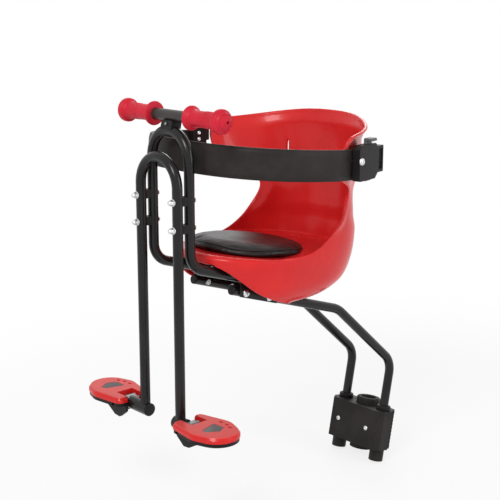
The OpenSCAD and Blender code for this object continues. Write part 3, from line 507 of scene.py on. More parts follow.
# Handlebar and grips: a short straight tube on a saddle over the loop, with a closed soft grip pushed on each end.
# A grip is moulded in red rubber, with a wide flange at each end and fine ribs along the part that is held.
bar_y = -527.83
bar_z = 716.69
bar_paint = coated("bar_paint", (48, 46, 44), (62, 59, 56), 0.36, 0.2, 1.4, 0.05)
# The saddle's top stays under the bar, whose front shows whole
rounded_copy("bar_saddle", "handlebar_bracket", 1.0, moulded_black, "plastic_black", top=bar_z - 7.5)


def keep_cad(node, paint):
    """A CAD part whose shape is right keeps it and takes a finish."""
    nodes[node].data.materials.clear()
    nodes[node].data.materials.append(paint)


keep_cad("handlebar", bar_paint)
dark_steel = bright_metal("dark_steel", (0.2, 0.2, 0.21), 0.38, 0.4)
keep_cad("bracket_screw", dark_steel)

grip_start = 50
grip_r = 14.5
flange_r = 22
bore_r = 10.7
bore_depth = 87.3


def cut_corners(points, closed=True):
    """An outline with its corners rounded. An open one keeps its two ends."""
    points = np.array(points, float)
    for _ in range(2):
        after = np.roll(points, -1, axis=0)
        cut = np.stack([0.75 * points + 0.25 * after, 0.25 * points + 0.75 * after], axis=1)
        points = cut.reshape(-1, 2) if closed else np.vstack([points[:1], cut[:-1].reshape(-1, 2), points[-1:]])
    return points


grip_outside = cut_corners(
    [(flange_r - 7, 0), (flange_r - 2, 0.6), (flange_r, 2.5), (flange_r, 5), (flange_r - 1.5, 7),
     (grip_r + 3.6, 9.2), (grip_r + 1.2, 12), (grip_r, 16), (grip_r, 68), (grip_r + 0.8, 73), (grip_r + 3, 76),
     (flange_r - 1.5, 77.4), (flange_r, 79.5), (flange_r, 86), (flange_r - 1.4, 88.6), (flange_r - 4, 90),
     (flange_r * 0.74, 92.6), (flange_r * 0.62, 95.4), (flange_r * 0.42, 98.6), (flange_r * 0.2, 100.6),
     (3.4, 101)], closed=False)
grip_inside = [(2.6, 100.4), (2.5, bore_depth + 4), (0, bore_depth + 4)]
grip_mouth = [(0, bore_depth), (bore_r, bore_depth), (bore_r, 0)]

grip_rubber = coated("grip_rubber", (196, 30, 50), (214, 42, 62), 0.46, 0.0, 0.7, 0.06)
# Each rib is a long eight-sided bead that sinks into the barrel
grip_ribs = setting_tree(
    "grip_ribs", {"Barrel": "Geometry", "Ribs": "Int", "Ring radius": "Float", "Rib length": "Float",
                  "Rib radius": "Float", "Rib sides": "Int", "Rib steps": "Int"},
    {"circle": "MeshCircle", "rib": "MeshCone"},
    ["in.Ribs > circle.Vertices", "in.Ring radius > circle.Radius", "in.Rib length > rib.Depth",
     "in.Rib radius > rib.Radius Top", "in.Rib radius > rib.Radius Bottom", "in.Rib sides > rib.Vertices",
     "in.Rib steps > rib.Side Segments", "circle.Mesh > set.Points", "rib.Mesh > set.Instance",
     "in.Barrel > join.Geometry"])
barrel = solid_mesh("grip_barrel", turned([*grip_mouth, *grip_outside, *grip_inside], around=72))
ribs_from, ribs_to = 16, 69
for side, name in both:
    cover = barrel.copy()
    cover.transform(Matrix.Translation((0, 0, -(ribs_from + ribs_to + 1) / 2 * MM)))
    made = run_nodes(f"grip_cover_{name}", cover, grip_ribs, {
        "Ribs": 26, "Ring radius": (grip_r - 0.25) * MM, "Rib length": (ribs_to - ribs_from) * MM,
        "Rib radius": 0.85 * MM, "Rib sides": 8, "Rib steps": 4, "Finish": grip_rubber})
    made.transform(Matrix.Translation((0, 0, (grip_start + (ribs_from + ribs_to) / 2) * MM)))
    made.transform(Matrix.Translation((0, bar_y * MM, bar_z * MM)) @ Matrix.Rotation(side * math.pi / 2, 4, "Y"))
    add_piece(f"grip_cover_{name}", made, grip_rubber, "grip_red", f"grip_{name}", crease=50)

# Seat stays: two bent tubes that rise from the seat-post clamp, turn forward and run under the seat.
# Flat plates bolt them to the loop's rails, and push-in caps close the open ends of rails and stays.
stay_foot = (-23.80, -59.55)
elbow = (17.03, 150.52)
knee = (-152.23, 300.27)
tail = (-436.28, 390.37)
half_stay = 55
for side, name in both:
    stay_path = bent_path(side_view(side * half_stay, stay_foot, elbow, knee, tail), (45, 70))
    add_tube(f"stay_tube_{name}", f"stay_{name}", stay_path, (1, 0, 0))
    rounded_copy(f"hanger_plate_{name}", f"side_plate_{name}", 0.6, frame_black, "frame_paint")
for node in ("stay_caps", "rail_caps", "crossbar_front", "crossbar_rear"):
    keep_cad(node, moulded_black if "caps" in node else frame_black)

rake = math.radians(17.6)
plate_bolts = [(tail[0] + along * math.cos(rake), tail[1] - along * math.sin(rake)) for along in (24, 86)]
plate_face = 67.8


def cross_head(shank, r=head_r * 1.5, h=head_h * 1.15):
    """A bolt whose pan head has a cross recess."""
    around = 48
    arm = np.abs(np.cos(2 * np.linspace(0, 2 * math.pi, around, endpoint=False))) ** 6
    return on_shank([(0, h * 0.2), (r * (0.12 + 0.1 * arm), h * 0.25), (r * (0.17 + 0.38 * arm), h * 0.95),
                     (r * 0.68, h * 0.9), (r * 0.9, h * 0.62), (r, h * 0.25), (r, 0)], shank, around)


# One CAD node holds the bolts of both sides, so the left piece stands for all four
for side, name in both:
    fasteners(f"plate_bolts_{name}", cross_head(28), [(side * plate_face, y, z) for y, z in plate_bolts],
              (0, side * 90, 0), *(["side_plate_bolts"] if name == "left" else []))
for node in ("side_plate_nuts", "seat_bolts"):
    keep_cad(node, zinc)


# Seat shell: one deep bucket moulded in glossy red plastic, with wings, cut-away sides and a rolled-out rim.
# It is a form through stacked rounded sections, trimmed in the side view and drawn in at the front of the pan. The
# pan is dished into it, with a rounded edge where no wall stands, and its front lip is notched for the loop's legs.
pan_front = (-522.33, 467.69)
shell_y = -328.33
shell_wall = 4.0
pan_slope = math.tan(math.radians(7))
shell_sections = np.array([
    # height over the pan's front, half width, reach back, reach forward, squareness
    (-120, 74, 105.5, 128.04, 2.5), (-110, 102, 147.7, 155.2, 2.6), (-88, 120, 181.5, 178.5, 2.8),
    (-56, 129, 198.3, 190.1, 2.9), (-16, 134, 204.7, 194, 3), (34, 132, 212.1, 174.6, 2.9),
    (80, 132, 213.1, 164.9, 2.8), (124, 164.5, 208.9, 164.9, 2.5), (164, 181, 208.9, 164.9, 2.3),
    (204, 195, 206.8, 164.9, 2.15), (248, 200, 204.7, 164.9, 2.1)])
shell_outline = [
    (0, 0), (98, -12), (203, -16), (238, -7), (262, 6), (284, 22), (303, 42), (315, 64), (317, 82), (306, 98),
    (284, 110), (258, 120), (240, 134), (233, 172), (243, 199), (258, 209), (325, 214), (370, 223), (400, 232),
    (440, 235), (440, -60), (380, -134), (262, -132), (215, -122), (178, -112.5), (142, -99), (105, -82),
    (69, -51), (44, -28), (15, -17), (0, -15)]
form_low, form_high = -119.9, 236
# The pan's front: how square its section is there, the share by which it is drawn in, and over what heights that
# fades out
front_square = 2.0
front_draw = 0.12
draw_from, draw_fade = 10, 60
# The rim is a bead of this half thickness. Over its reach the wall flares out, and further in it lies a little back
rim_half = 3.4
rim_reach = 25.0
rim_flare = 5.5
rim_sink = 4.0
# The pan's edge is rounded up to one distance from its front, and the rounding fades over the next stretch
pan_roll = 9.0
roll_full = 110
roll_fade = 85
# The wall stands high from this place of the outline back, and the pan is dished into it with a full radius
wall_foot = (240, 134)
full_dish = 20


def spline_table(rows, steps=24):
    """The sections as a fine table, on a smooth curve through each."""
    padded = np.vstack([rows[0], rows, rows[-1]])
    t = np.linspace(0, 1, steps, endpoint=False)[:, None]
    table = [0.5 * (2 * b + (c - a) * t + (2 * a - 5 * b + 4 * c - d) * t * t + (3 * b - a - 3 * c + d) * t ** 3)
             for a, b, c, d in zip(padded[:-3], padded[1:-2], padded[2:-1], padded[3:])]
    return np.vstack([*table, rows[-1:]])


section_table = spline_table(shell_sections)


def shell_point(angle, height, inset):
    """Points on the shell's form. height is over the pan's front, and inset goes inwards."""
    wide, back, front, square = (np.interp(height, section_table[:, 0], section_table[:, k]) for k in range(1, 5))
    c, s = np.cos(angle), np.sin(angle)
    low = 1 - np.clip((height - draw_from) / draw_fade, 0, 1)
    square = np.where(s > 0, square, square + (front_square - square) * low)
    reach = np.where(s > 0, back, front * (1 - front_draw * low))
    return np.stack([(wide - inset) * np.sign(c) * np.abs(c) ** (2 / square),
                     shell_y + (reach - inset) * np.sign(s) * np.abs(s) ** (2 / square),
                     height + pan_front[1]], axis=-1)


def nearest_on_line(points, line):
    """How far points stand from a line of straight stretches."""
    along = line[1:] - line[:-1]
    from_start = points[:, None, :] - line[None, :-1]
    share = np.clip((from_start * along).sum(-1) / np.maximum((along ** 2).sum(-1), 1e-9), 0, 1)
    return np.linalg.norm(from_start - share[..., None] * along, axis=-1).min(1)


def ease(share):
    share = np.clip(share, 0, 1)
    return share * share * (3 - 2 * share)


def edge_roll(rel):
    """How large the rounding of the pan's edge is at a distance from its front, and how much of it is left."""
    left = 1 - ease((rel - roll_full) / roll_fade)
    return pan_roll * left, left


smooth_outline = cut_corners(shell_outline)
smooth_outline = np.vstack([smooth_outline, smooth_outline[:1]])
loop_bend = loop_path[(loop_path[:, 2] < pan_front[1] + 30) & (loop_path[:, 0] > 0)]
notch_gap = 1.2
wall_rise = 14


def kept_depth(angle, height):
    """How far inside the shell's trimmed edge a place on its form lies, less than 0 being cut away."""
    points = shell_point(angle.ravel(), height.ravel(), 0)
    side = points[:, 1:] - np.array(pan_front)
    depth = nearest_on_line(side, smooth_outline)
    a, b = smooth_outline[:-1], smooth_outline[1:]
    y, z = side[:, :1], side[:, 1:]
    crosses = ((a[:, 1] > z) != (b[:, 1] > z)) & (
        y < (b[:, 0] - a[:, 0]) * (z - a[:, 1]) / np.where(b[:, 1] == a[:, 1], 1e-9, b[:, 1] - a[:, 1]) + a[:, 0])
    depth = np.where(crosses.sum(1) % 2 == 1, depth, -depth)
    roll, over_edge = edge_roll(side[:, 0])
    # Under the rounded edge the wall stops at the roll's foot, and it rises past the pan as the roll fades
    below_pan = -side[:, 0] * pan_slope - side[:, 1] - roll + rim_half + wall_rise * (1 - over_edge)
    depth = np.where(over_edge > 0.01, np.minimum(depth, below_pan), depth)
    # Only the pan's front lip is notched for the loop
    front = (side[:, 0] < 60) & (side[:, 1] < 20)
    mirrored = np.column_stack([np.abs(points[front, 0]), points[front, 1:]])
    notch = nearest_on_line(mirrored, loop_bend) - tube_r - notch_gap
    depth[front] = np.minimum(depth[front], notch)
    return (depth - rim_half).reshape(angle.shape)


def even_angles(count):
    """Angles that step evenly along a section of the shell."""
    fine = np.linspace(0, 2 * math.pi, 20001)
    line = shell_point(fine, np.full(fine.shape, 20.0), 0)
    length = np.concatenate([[0], np.cumsum(np.linalg.norm(np.diff(line, axis=0), axis=1))])
    return np.interp(np.linspace(0, length[-1], count, endpoint=False), length, fine)


def trimmed_grid(around=232, rows=104):
    """The kept part of the form as (angle, height) corners and faces, its cut corners moved onto the edge."""
    angle, height = np.meshgrid(even_angles(around), np.linspace(form_low, form_high, rows))
    depth = kept_depth(angle, height)
    # Corners less deep than this go onto the edge, so that no face beside it is a sliver
    inside = depth > 1.0
    corner = np.arange(around * rows).reshape(rows, around)
    right = np.roll(corner, -1, axis=1)
    quads = np.stack([corner[:-1], right[:-1], right[1:], corner[1:]], axis=-1).reshape(-1, 4)
    quads = quads[inside.ravel()[quads].any(1)]
    used = np.unique(quads)
    a, h = angle.ravel().copy(), height.ravel().copy()
    moved = used[~inside.ravel()[used]]
    at_a, at_h = a[moved], h[moved]
    step_a, step_h = 1e-4, 0.05
    longest = 6
    # Each round goes down the slope of the depth, by the millimetres that are left to the edge
    for _ in range(6):
        here, spot = kept_depth(at_a, at_h), shell_point(at_a, at_h, 0)
        long_a = np.linalg.norm(shell_point(at_a + step_a, at_h, 0) - spot, axis=1) / step_a
        long_h = np.linalg.norm(shell_point(at_a, at_h + step_h, 0) - spot, axis=1) / step_h
        slope_a = (kept_depth(at_a + step_a, at_h) - here) / step_a / long_a
        slope_h = (kept_depth(at_a, at_h + step_h) - here) / step_h / long_h
        stride = np.clip(here / np.maximum(slope_a ** 2 + slope_h ** 2, 0.05), -longest, longest)
        at_a -= np.clip(slope_a * stride, -longest, longest) / long_a
        at_h -= np.clip(slope_h * stride, -longest, longest) / long_h
        at_h = np.maximum(at_h, form_low)
    a[moved], h[moved] = at_a, at_h
    index = np.full(around * rows, -1)
    index[used] = np.arange(len(used))
    return a[used], h[used], index[quads]


def shell_wall_part():
    """The shell's wall: an outer skin, an inner skin, and a round nose that joins them along every edge."""
    angle, height, quads = trimmed_grid()
    depth = kept_depth(angle, height)
    # The rim rolls out over the pan only, and comes in over the first heights
    rolled = ease((height - 4) / 34)
    near_rim = 1 - np.clip(depth / rim_reach, 0, 1)
    outset = -rolled * (rim_flare * near_rim ** 2 - rim_sink * (1 - near_rim ** 2))
    thick = shell_wall + rolled * 2 * (rim_half - shell_wall / 2) * (1 - np.clip(depth / 8, 0, 1)) ** 2
    outer = shell_point(angle, height, outset)
    inner = shell_point(angle, height, outset + thick)
    count = len(angle)
    points = list(outer) + list(inner)
    faces = [tuple(q) for q in quads] + [tuple(count + k for k in q[::-1]) for q in quads]
    edges = {}
    for quad in quads:
        for a, b in zip(quad, np.roll(quad, -1)):
            if (b, a) in edges:
                del edges[(b, a)]
            else:
                edges[(a, b)] = quad
    after = {a: b for a, b in edges}
    before = {b: a for a, b in edges}
    centre = {a: outer[quad].mean(0) for (a, b), quad in edges.items()}
    noses = {}
    nose_steps = 5
    # The nose is a half round from the outer skin to the inner one, on the side away from the wall
    for k in after:
        along = outer[after[k]] - outer[before.get(k, k)]
        through = outer[k] - inner[k]
        out = np.cross(along, through)
        size = np.linalg.norm(out)
        out = out / size if size > 1e-6 else np.zeros(3)
        if out @ (outer[k] - centre[k]) < 0:
            out = -out
        middle, half = (outer[k] + inner[k]) / 2, through / 2
        ring = [k]
        for step in range(1, nose_steps):
            turn = math.pi * step / nose_steps
            points.append(middle + half * math.cos(turn) + out * np.linalg.norm(half) * math.sin(turn))
            ring.append(len(points) - 1)
        noses[k] = ring + [count + k]
    for a, b in edges:
        if b in noses:
            faces += [(noses[a][j + 1], noses[b][j + 1], noses[b][j], noses[a][j]) for j in range(nose_steps)]
    return points, faces


def pan_part(around=200, across=22):
    """The seat pan: flat in the middle, and dished up into the wall where the wall stands high."""
    angle = even_angles(around)
    rim = shell_point(angle, np.zeros(around), shell_wall)
    rel = rim[:, 1] - pan_front[0]
    # The outline's first points are the top edge of the pan's sides
    top = np.array([*shell_outline[:4], wall_foot])
    wall_high = np.interp(rel, top[:, 0], top[:, 1]) + rel * pan_slope
    dish = np.clip(np.where(rel > wall_foot[0], full_dish, wall_high * 0.8), 0.6, full_dish)

    def ring_at(inset, lift):
        """One ring of the pan, at an inset from the form and a height over the pan's face."""
        y = rim[:, 1].copy()
        for _ in range(8):
            ring = shell_point(angle, -(y - pan_front[0]) * pan_slope + lift, inset)
            y = ring[:, 1]
        return ring

    roll, left = edge_roll(rel)
    # Where the edge isn't rounded, the pan's own edge is hidden in the wall and its dish starts just inside it
    hidden = 2.4 * (1 - left)
    start = np.maximum(shell_wall + 1.8 * (1 - left), roll)
    rings = [ring_at(hidden + 2.2 * left, -roll - 1.5 * left)]
    for turn in np.radians(np.linspace(0, 90, 9)):
        rings.append(ring_at(hidden + roll * (1 - math.cos(turn)), dish * (1 - left) - roll * (1 - math.sin(turn))))
    for share in np.linspace(0.02, 1, 8):
        inward = dish * share * (1 - left)
        lift = dish - np.sqrt(np.maximum(dish ** 2 - (dish - inward) ** 2, 0))
        rings.append(ring_at(start + inward + 3 * share * left, lift * (1 - left)))
    last_round = rings[-1]
    hub = np.array([0, shell_y, 0])
    for share in np.linspace(0, 1, across)[1:]:
        ring = hub + (last_round - hub) * (1 - share)
        ring[:, 2] = pan_front[1] - (ring[:, 1] - pan_front[0]) * pan_slope
        rings.append(ring)
    under = [ring - np.array([0, 0, shell_wall - 0.4]) for ring in rings[:0:-1]]
    return skin([*rings, *under], capped=True)


def boss_parts():
    """Bosses under the pan that take the seat bolts."""
    parts = []
    for y, bottom in ((-464.83, 440.5), (-354.83, 407.5)):
        top = pan_front[1] - (y - pan_front[0]) * pan_slope - 2
        points, faces = turned([(0, top), (10.5, top), (10, bottom + 1), (9.4, bottom), (0, bottom)])
        parts += [(points + np.array([x, y, 0]), faces) for x in (-32, 32)]
    return parts


gloss_red, red_shader, red_place = new_paint("gloss_red_plastic", coat=0.16)
red_clouds = noise(red_place, 90, 2).between(0.35, 0.65)
red_scuffs = noise(red_place, 14, 6, 0.72).between(0.62, 0.76)
dress(red_shader, (red_clouds * 0.8 + red_scuffs * 0.2).colours(colour(212, 34, 36), colour(222, 41, 41)),
      0.26 + red_scuffs * 0.05 + red_clouds * 0.03, noise(red_place, 3.2, 2) * 0.5 + noise(red_place, 26, 1), 0.05)

# The strap slots are cut out of the back wall before the pan and its bosses join it
slot_half, slot_high = 2.25, 34
slot_x, slot_z = 96, 599.69
cutters = []
for side in (-1, 1):
    corners = [(-slot_half, 0), (slot_half, 0), (slot_half, slot_high), (-slot_half, slot_high)]
    ring = cut_corners(corners) + np.array((side * slot_x, slot_z))
    cutters.append(skin([np.column_stack([ring[:, 0], np.full(len(ring), y), ring[:, 1]]) for y in (-200, -60)]))
cutter = new_object("strap_slot_cutter", solid_mesh("strap_slot_cutter", *cutters))
blank = new_object("shell_blank", solid_mesh("seat_shell_moulding", shell_wall_part(), merge=0.02))
cut = blank.modifiers.new("strap_slots", "BOOLEAN")
cut.object = cutter
cut.solver = "EXACT"
joined = bmesh.new()
joined.from_mesh(evaluated_mesh(blank))
joined.from_mesh(solid_mesh("pan", pan_part(), *boss_parts()))
shell_final = bpy.data.meshes.new("seat_shell_moulding")
joined.to_mesh(shell_final)
joined.free()
bpy.data.objects.remove(blank)
bpy.data.objects.remove(cutter)
add_piece("seat_shell_moulding", shell_final, gloss_red, "shell_red", "seat_shell", crease=55)


# Cushion: a round foam pad in soft black leathercloth, sewn to a flat base with a welt round its top edge.
# The pad is blown up as cloth, and the welt and its stitches are laid on it afterwards.
cushion_y = shell_y - 24
cushion_r = 111
cushion_seat = pan_front[1] - (cushion_y - pan_front[0]) * pan_slope + 0.3
to_pan = Matrix.Translation((0, cushion_y * MM, cushion_seat * MM)) @ Matrix.Rotation(-math.radians(7), 4, "X")


# The pad before it is blown up: a disc that rises to its middle, with a soft shoulder
pad_profile = [(0, 0), (cushion_r - 9, 0), (cushion_r - 3.5, 1.6), (cushion_r - 1.6, 5), (cushion_r - 1.8, 10),
               (cushion_r - 4, 13), (cushion_r - 12, 15.2), (cushion_r * 0.7, 18), (cushion_r * 0.35, 19.6), (0, 20)]
blank = new_object("cushion_blank", solid_mesh("cushion_blank", turned(pad_profile, around=96)))
remesh = blank.modifiers.new("voxels", "REMESH")
remesh.mode = "VOXEL"
remesh.voxel_size = 4.5 * MM
pad_mesh = evaluated_mesh(blank)
bpy.data.objects.remove(blank)
pad = new_object("cushion_cloth", pad_mesh)
cloth = pad.modifiers.new("filling", "CLOTH")
for setting, value in {"quality": 6, "mass": 0.3, "tension_stiffness": 25, "compression_stiffness": 25,
                       "bending_stiffness": 2, "use_pressure": True, "uniform_pressure_force": 4}.items():
    setattr(cloth.settings, setting, value)
cloth.settings.effector_weights.gravity = 0
cloth.collision_settings.use_collision = False
last_frame = 20
cloth.point_cache.frame_start = 1
cloth.point_cache.frame_end = last_frame
at_rest = np.array([v.co for v in pad_mesh.vertices])
scene = bpy.context.scene
for step in range(1, last_frame + 1):
    scene.frame_set(step)
blown = evaluated_mesh(pad)
scene.frame_set(1)
bpy.data.objects.remove(pad)
# No place moves further than most, and none goes through the base or over the highest level
most, highest = 6 * MM, 23.0 * MM
move = np.array([v.co for v in blown.vertices]) - at_rest
far = np.linalg.norm(move, axis=1)
move *= (np.tanh(far / most) * most / np.maximum(far, 1e-9))[:, None]
settled = at_rest + move
settled[:, 2] = np.clip(settled[:, 2], 0, highest)
ring_r = np.linalg.norm(settled[:, :2], axis=1)
settled[:, :2] *= np.minimum(1, (cushion_r + 1) * MM / np.maximum(ring_r, 1e-9))[:, None]
pad_mesh = blown
pad_mesh.vertices.foreach_set("co", settled.ravel())

soft = bmesh.new()
soft.from_mesh(pad_mesh)
for _ in range(3):
    bmesh.ops.smooth_vert(soft, verts=soft.verts, factor=0.5, use_axis_x=True, use_axis_y=True, use_axis_z=True)
bmesh.ops.subdivide_edges(soft, edges=soft.edges, cuts=1, use_grid_fill=True, smooth=0.6)
# Filling draws the edge in a little, so the pad is brought back to its width over the base
spread = cushion_r * MM / max(math.hypot(corner.co.x, corner.co.y) for corner in soft.verts)
for corner in soft.verts:
    corner.co.x *= spread
    corner.co.y *= spread
# Long soft creases that run in from the welt, as leathercloth takes round a filled edge, and the welt's own groove
welt_ring = 0.945
for corner in soft.verts:
    r = math.hypot(corner.co.x, corner.co.y) / (cushion_r * MM)
    if corner.co.z > 12 * MM:
        a = math.atan2(corner.co.y, corner.co.x)
        crease = math.sin(23 * a + 2.1 * math.sin(3 * a)) * math.exp(-((r - 0.9) / 0.07) ** 2)
        corner.co.z += 0.28 * MM * crease
        corner.co.z -= 0.9 * MM * math.exp(-((r - welt_ring) / 0.018) ** 2)
pad_surface = BVHTree.FromBMesh(soft)
pad_final = bpy.data.meshes.new("cushion_pad")
soft.to_mesh(pad_final)
soft.free()


def leathercloth(name, dark, light):
    """Coated cloth: pebbled grain in two sizes, a satin face, and a little wear where it is sat on."""
    paint, shader, place = new_paint(name, coat=0.12, coat_roughness=0.25)
    pebbles = place.node("ShaderNodeTexVoronoi", {"feature": "SMOOTH_F1"},
                         {"Vector": place, "Scale": 1 / (1.5 * MM), "Smoothness": 0.6})
    wear = noise(place, 45, 4, 0.6).between(0.42, 0.66)
    dress(shader, (wear * 0.7 + pebbles * 0.3).colours(dark, light), 0.34 + wear * 0.08 + pebbles * 0.05,
          pebbles * 0.7 + noise(place, 0.6, 2) * 0.3, 0.1)
    return paint


cushion_skin = leathercloth("cushion_leathercloth", colour(24, 20, 20), colour(36, 30, 31))
pad_final.transform(to_pan)
pad = add_piece("cushion_pad", pad_final, cushion_skin, "cushion_skin", "seat_cushion", crease=80)


def on_pad(points, lift_mm):
    """Drops points in metres onto the pad, and lifts them a little off it."""
    down = Vector((0, 0, -1))
    return np.array([pad_surface.ray_cast(p, down)[0] for p in points]) + np.array([0, 0, lift_mm * MM])


welt_r = 1.7
welt_steps = 120
welt_turns = [2 * math.pi * k / welt_steps for k in range(welt_steps)]
over_pad = Vector((0, 0, 0.05))
welt_line = on_pad([Vector((math.cos(a), math.sin(a), 0)) * welt_ring * cushion_r * MM + over_pad
                    for a in welt_turns], 0.7) / MM
welt_line[:, 2] = np.mean([np.roll(welt_line[:, 2], k) for k in range(-3, 4)], axis=0)


def closed_bead(line, radius):
    """A round bead along a closed line that lies about level."""
    ahead = np.roll(line, -1, axis=0) - np.roll(line, 1, axis=0)
    ahead /= np.linalg.norm(ahead, axis=1)[:, None]
    up = np.array([0, 0, 1.0])
    side = np.cross(ahead, up)
    side /= np.linalg.norm(side, axis=1)[:, None]
    angles = np.linspace(0, 2 * math.pi, 12, endpoint=False)
    rings = [p + radius * (np.outer(np.cos(angles), s) + np.outer(np.sin(angles), up)) for p, s in zip(line, side)]
    return skin([*rings, rings[0]], capped=False)


welt_mesh = solid_mesh("cushion_welt", closed_bead(welt_line, welt_r), merge=0.01)
welt_mesh.transform(to_pan)
add_piece("cushion_welt", welt_mesh, leathercloth("welt_leathercloth", colour(30, 26, 26), colour(42, 36, 36)),
          "cushion_skin", crease=80)

# The welt is sewn on by stitches that follow it, just inside
stitches = setting_tree(
    "stitches_on_line", {"Line": "Geometry", "Stitches": "Int", "Stitch length": "Float", "Thread radius": "Float",
                         "Thread sides": "Int", "Thread steps": "Int"},
    {"curve": "MeshToCurve", "spots": "CurveToPoints", "thread": "MeshCone"},
    ["in.Line > curve.Mesh", "curve.Curve > spots.Curve", "in.Stitches > spots.Count",
     "in.Stitch length > thread.Depth", "in.Thread radius > thread.Radius Top",
     "in.Thread radius > thread.Radius Bottom", "in.Thread sides > thread.Vertices",
     "in.Thread steps > thread.Side Segments", "spots.Points > set.Points", "spots.Rotation > set.Rotation",
     "thread.Mesh > set.Instance"])
stitches.nodes["Curve to Points"].mode = "COUNT"
seam_in = 0.972
seam_points = on_pad([Vector((x * seam_in * MM, y * seam_in * MM, 0.05)) for x, y, _ in welt_line], 0.1)
seam_mesh = bpy.data.meshes.new("cushion_seam_line")
seam_mesh.from_pydata(seam_points, [(k, (k + 1) % welt_steps) for k in range(welt_steps)], [])
thread_paint = coated("seam_thread", (46, 42, 42), (66, 61, 60), 0.6, 0.0, 0.25, 0.05)
seam = run_nodes("cushion_stitches", seam_mesh, stitches, {
    "Stitches": 190, "Stitch length": 2.5 * MM, "Thread radius": 0.32 * MM, "Thread sides": 6, "Thread steps": 2,
    "Finish": thread_paint})
seam.transform(to_pan)
add_piece("cushion_stitches", seam, thread_paint, "cushion_skin", crease=60)

# Safety band: a strip of closed-cell foam in a smooth black skin, round a thin steel core that keeps its bow.
# It is bent in front of the child, riveted inside the right wing and held in the buckle on the left one.
band_front = -516.33
band_back = -306.33
band_mid_z = 644.69
band_end_z = 626.32
band_w = 203
band_t = 9
band_h = 57
band_tail = 56
band_square = 2.5
band_tilt = math.radians(5)
buckle_turn = math.radians(12)


def band_line(inset, steps=72):
    """The band seen from above, from its end in the buckle round to its far end, as a squarish half round."""
    line = [(band_w - inset * math.cos(buckle_turn) - along * math.sin(buckle_turn),
             band_back - inset * math.sin(buckle_turn) + along * math.cos(buckle_turn))
            for along in np.linspace(band_tail, 5, 6)]
    for k in range(steps + 1):
        a = math.pi * k / steps
        c = math.copysign(abs(math.cos(a)) ** (2 / band_square), math.cos(a))
        s = math.sin(a) ** (2 / band_square)
        line.append(((band_w - inset) * c, band_back - (band_back - band_front - inset) * s))
    return np.array(line)


def to_band(points):
    """Tilts points from the band's own level to where it hangs."""
    y, z = points[:, 1] - band_front, points[:, 2].copy()
    return np.column_stack([points[:, 0], band_front + y * math.cos(band_tilt) + z * math.sin(band_tilt),
                            band_mid_z - y * math.sin(band_tilt) + z * math.cos(band_tilt)])


def band_ring(k, outer, inner):
    """The strip's section at one place: round edges, and a slight swell between its welded borders."""
    half_t, half_h = band_t / 2 - 0.15, band_h / 2
    middle, half = (outer[k] + inner[k]) / 2, (outer[k] - inner[k]) / band_t
    ring = []
    for a in np.linspace(0, 2 * math.pi, 40, endpoint=False):
        across = math.copysign(abs(math.cos(a)) ** 0.45, math.cos(a))
        up = math.copysign(abs(math.sin(a)) ** 0.62, math.sin(a))
        border = 1 - 0.3 * math.exp(-((abs(up) - 0.86) / 0.035) ** 2)
        ring.append([*(middle + half * half_t * across * border), half_h * up])
    return to_band(np.array(ring))


band_outer, band_inner = band_line(0), band_line(band_t)
band_paint, band_shader, band_place = new_paint("band_foam")
band_pores = noise(band_place, 0.8, 3, 0.6)
band_clouds = noise(band_place, 40, 4, 0.6).between(0.4, 0.7)
dress(band_shader, (band_clouds * 0.7 + band_pores * 0.3).colours(colour(34, 29, 28), colour(48, 43, 41)),
      0.44 + band_clouds * 0.1 + band_pores * 0.06, band_pores * 0.5 + noise(band_place, 7, 2) * 0.5, 0.18)
band_rings = [band_ring(k, band_outer, band_inner) for k in range(len(band_outer))]
band_piece = add_piece("band_foam_strip", solid_mesh("band_foam_strip", skin(band_rings)), band_paint, "band_foam",
                       "safety_band", crease=60)
keep_cad("band_core", dark_steel)
rounded_copy("band_end_block", "band_bracket", 1.4, moulded_black, "plastic_black")
bracket_face = -176.8
far_rivets = [(bracket_face, band_back - 16, band_end_z + 7 + 12.5 * k) for k in (-1.5, -0.5, 0.5, 1.5)]
rivet_head = turned([(0, 1.0), (1.5, 1.1), (1.7, 1.9), (2.2, 2.3), (3.0, 2.0), (3.8, 1.1), (4, 0.2), (4, -0.2),
                     (2, -0.2), (2, -10), (0, -10)])
fasteners("band_rivets", rivet_head, far_rivets, (0, 90, 0), "bracket_rivets", crease=40)

# Buckle: a moulded housing riveted over the band's near end, with a framed catch behind and a grey release tab.
# The tab slides up in the housing against a spring, so it rides on its own body.
buckle_black = coated("buckle_plastic", (28, 25, 25), (38, 35, 35), 0.44, 0.0, 0.8, 0.07)
rounded_copy("buckle_seat", "buckle_base", 1.2, moulded_black, "plastic_black")
rounded_copy("buckle_shell", "buckle_housing", 3.4, buckle_black, "plastic_black", steps=3)
rounded_copy("buckle_rear_frame", "buckle_catch", 1.5, buckle_black, "plastic_black", steps=3)
tab_grey = coated("tab_grey_plastic", (92, 93, 92), (112, 113, 112), 0.4, 0.0, 0.7, 0.05)
rounded_copy("thumb_tab", "release_tab", 2.4, tab_grey, "tab_grey", body="release_tab", steps=4)
# The rivet stands on the housing's outer face, behind the tab
housing_face = 16
rivet_back = 44
outwards = Vector((math.cos(buckle_turn), math.sin(buckle_turn), 0))
backwards = Vector((-math.sin(buckle_turn), math.cos(buckle_turn), 0))
rivet_at = Vector((band_w + 1, band_back, band_end_z + 4)) + outwards * (housing_face + 0.1) + backwards * rivet_back
fasteners("buckle_rivet_head", rivet_head, [rivet_at], (0, 90, math.degrees(buckle_turn)), "buckle_rivet", size=1.8,
          crease=40)

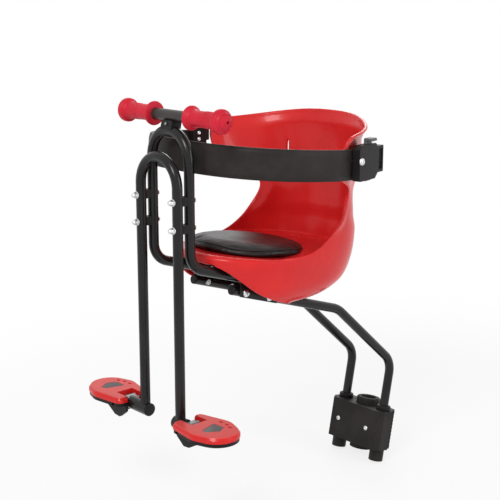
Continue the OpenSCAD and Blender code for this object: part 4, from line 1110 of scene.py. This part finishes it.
# Seat-post clamp: a moulded block holds the stays' feet and half of the post, and a ribbed jaw closes behind it.
# Two bolts draw them together on a split rubber liner, which grips the bike's seat post.
clamp_plastic = coated("clamp_plastic", (28, 25, 24), (44, 41, 40), 0.46, 0.0, 1.0, 0.08)
liner_rubber = coated("liner_rubber", (38, 37, 36), (56, 54, 52), 0.6, 0.0, 0.6, 0.08)
rounded_copy("clamp_body", "clamp_block", 1.2, clamp_plastic, "clamp_plastic")
rounded_copy("clamp_rear_jaw", "clamp_jaw", 0.7, moulded_black, "clamp_plastic")
rounded_copy("liner_half_front", "post_liner_front", 1.0, liner_rubber, "liner_rubber")
rounded_copy("liner_half_rear", "post_liner_rear", 1.0, liner_rubber, "liner_rubber")
rounded_copy("stay_collars", "socket_collars", 0.8, moulded_black, "plastic_black")
post_lean = 11
clamp_front = -43.0 - seat_gap
clamp_bolt_spots = [(x, clamp_front * math.cos(math.radians(post_lean)),
                     -clamp_front * math.sin(math.radians(post_lean))) for x in (-40.5, 40.5)]
fasteners("clamp_bolt_heads", socket_head(68), clamp_bolt_spots, (90 - post_lean, 0, 0), "clamp_bolts")
keep_cad("clamp_nuts", zinc)

# Pedals: arms across the feet of the legs carry zinc lugs, and each pedal folds up on a pin through its lug.
# A pedal has a red top with a raised rim and tread, a soft grey pad and drain slots, over a black keel.
pedal_red, pedal_shader, pedal_place = new_paint("pedal_red_plastic", coat=0.2)
pedal_wear = noise(pedal_place, 10, 6, 0.7).between(0.5, 0.74)
# The top face is painted paler, a painted sheen of the light that falls on it, and is made duller, from just under
# its own height up, in metres
sheen_from, sheen_to = 0.1722, 0.1744
painted_top_sheen = pedal_place.node("ShaderNodeSeparateXYZ", None, {0: pedal_place}, out="Z").between(sheen_from, sheen_to)
# The paler red is partly the painted sheen on the top face and partly random wear
dress(pedal_shader, (painted_top_sheen * 0.75 + pedal_wear * 0.25).colours(colour(216, 33, 33), colour(222, 84, 80)),
      0.3 + painted_top_sheen * 0.2 + pedal_wear * 0.05, noise(pedal_place, 1.1, 3), 0.1)
pad_grey = coated("pad_grey_rubber", (104, 100, 100), (128, 123, 122), 0.7, 0.0, 0.6, 0.1)
lug_steel = bright_metal("lug_steel", (0.26, 0.27, 0.27), 0.4, 0.5)
keep_cad("arm_caps", moulded_black)
for name in ("left", "right"):
    body = f"pedal_{name}"
    keep_cad(f"pedal_arm_{name}", frame_black)
    keep_cad(f"hinge_pin_{name}", zinc)
    rounded_copy(f"hinge_tongue_{name}", f"hinge_lug_{name}", 0.8, lug_steel, "zinc")
    rounded_copy(f"pedal_plate_{name}", f"pedal_top_{name}", 2.6, pedal_red, "pedal_red", body=body, steps=4,
                 sharp=30, crease=45)
    rounded_copy(f"pedal_keel_{name}", f"pedal_base_{name}", 1.2, moulded_black, "plastic_black", body=body,
                 sharp=40)
    rounded_copy(f"pedal_pad_piece_{name}", f"pedal_pad_{name}", 0.4, pad_grey, "pad_grey", body=body)
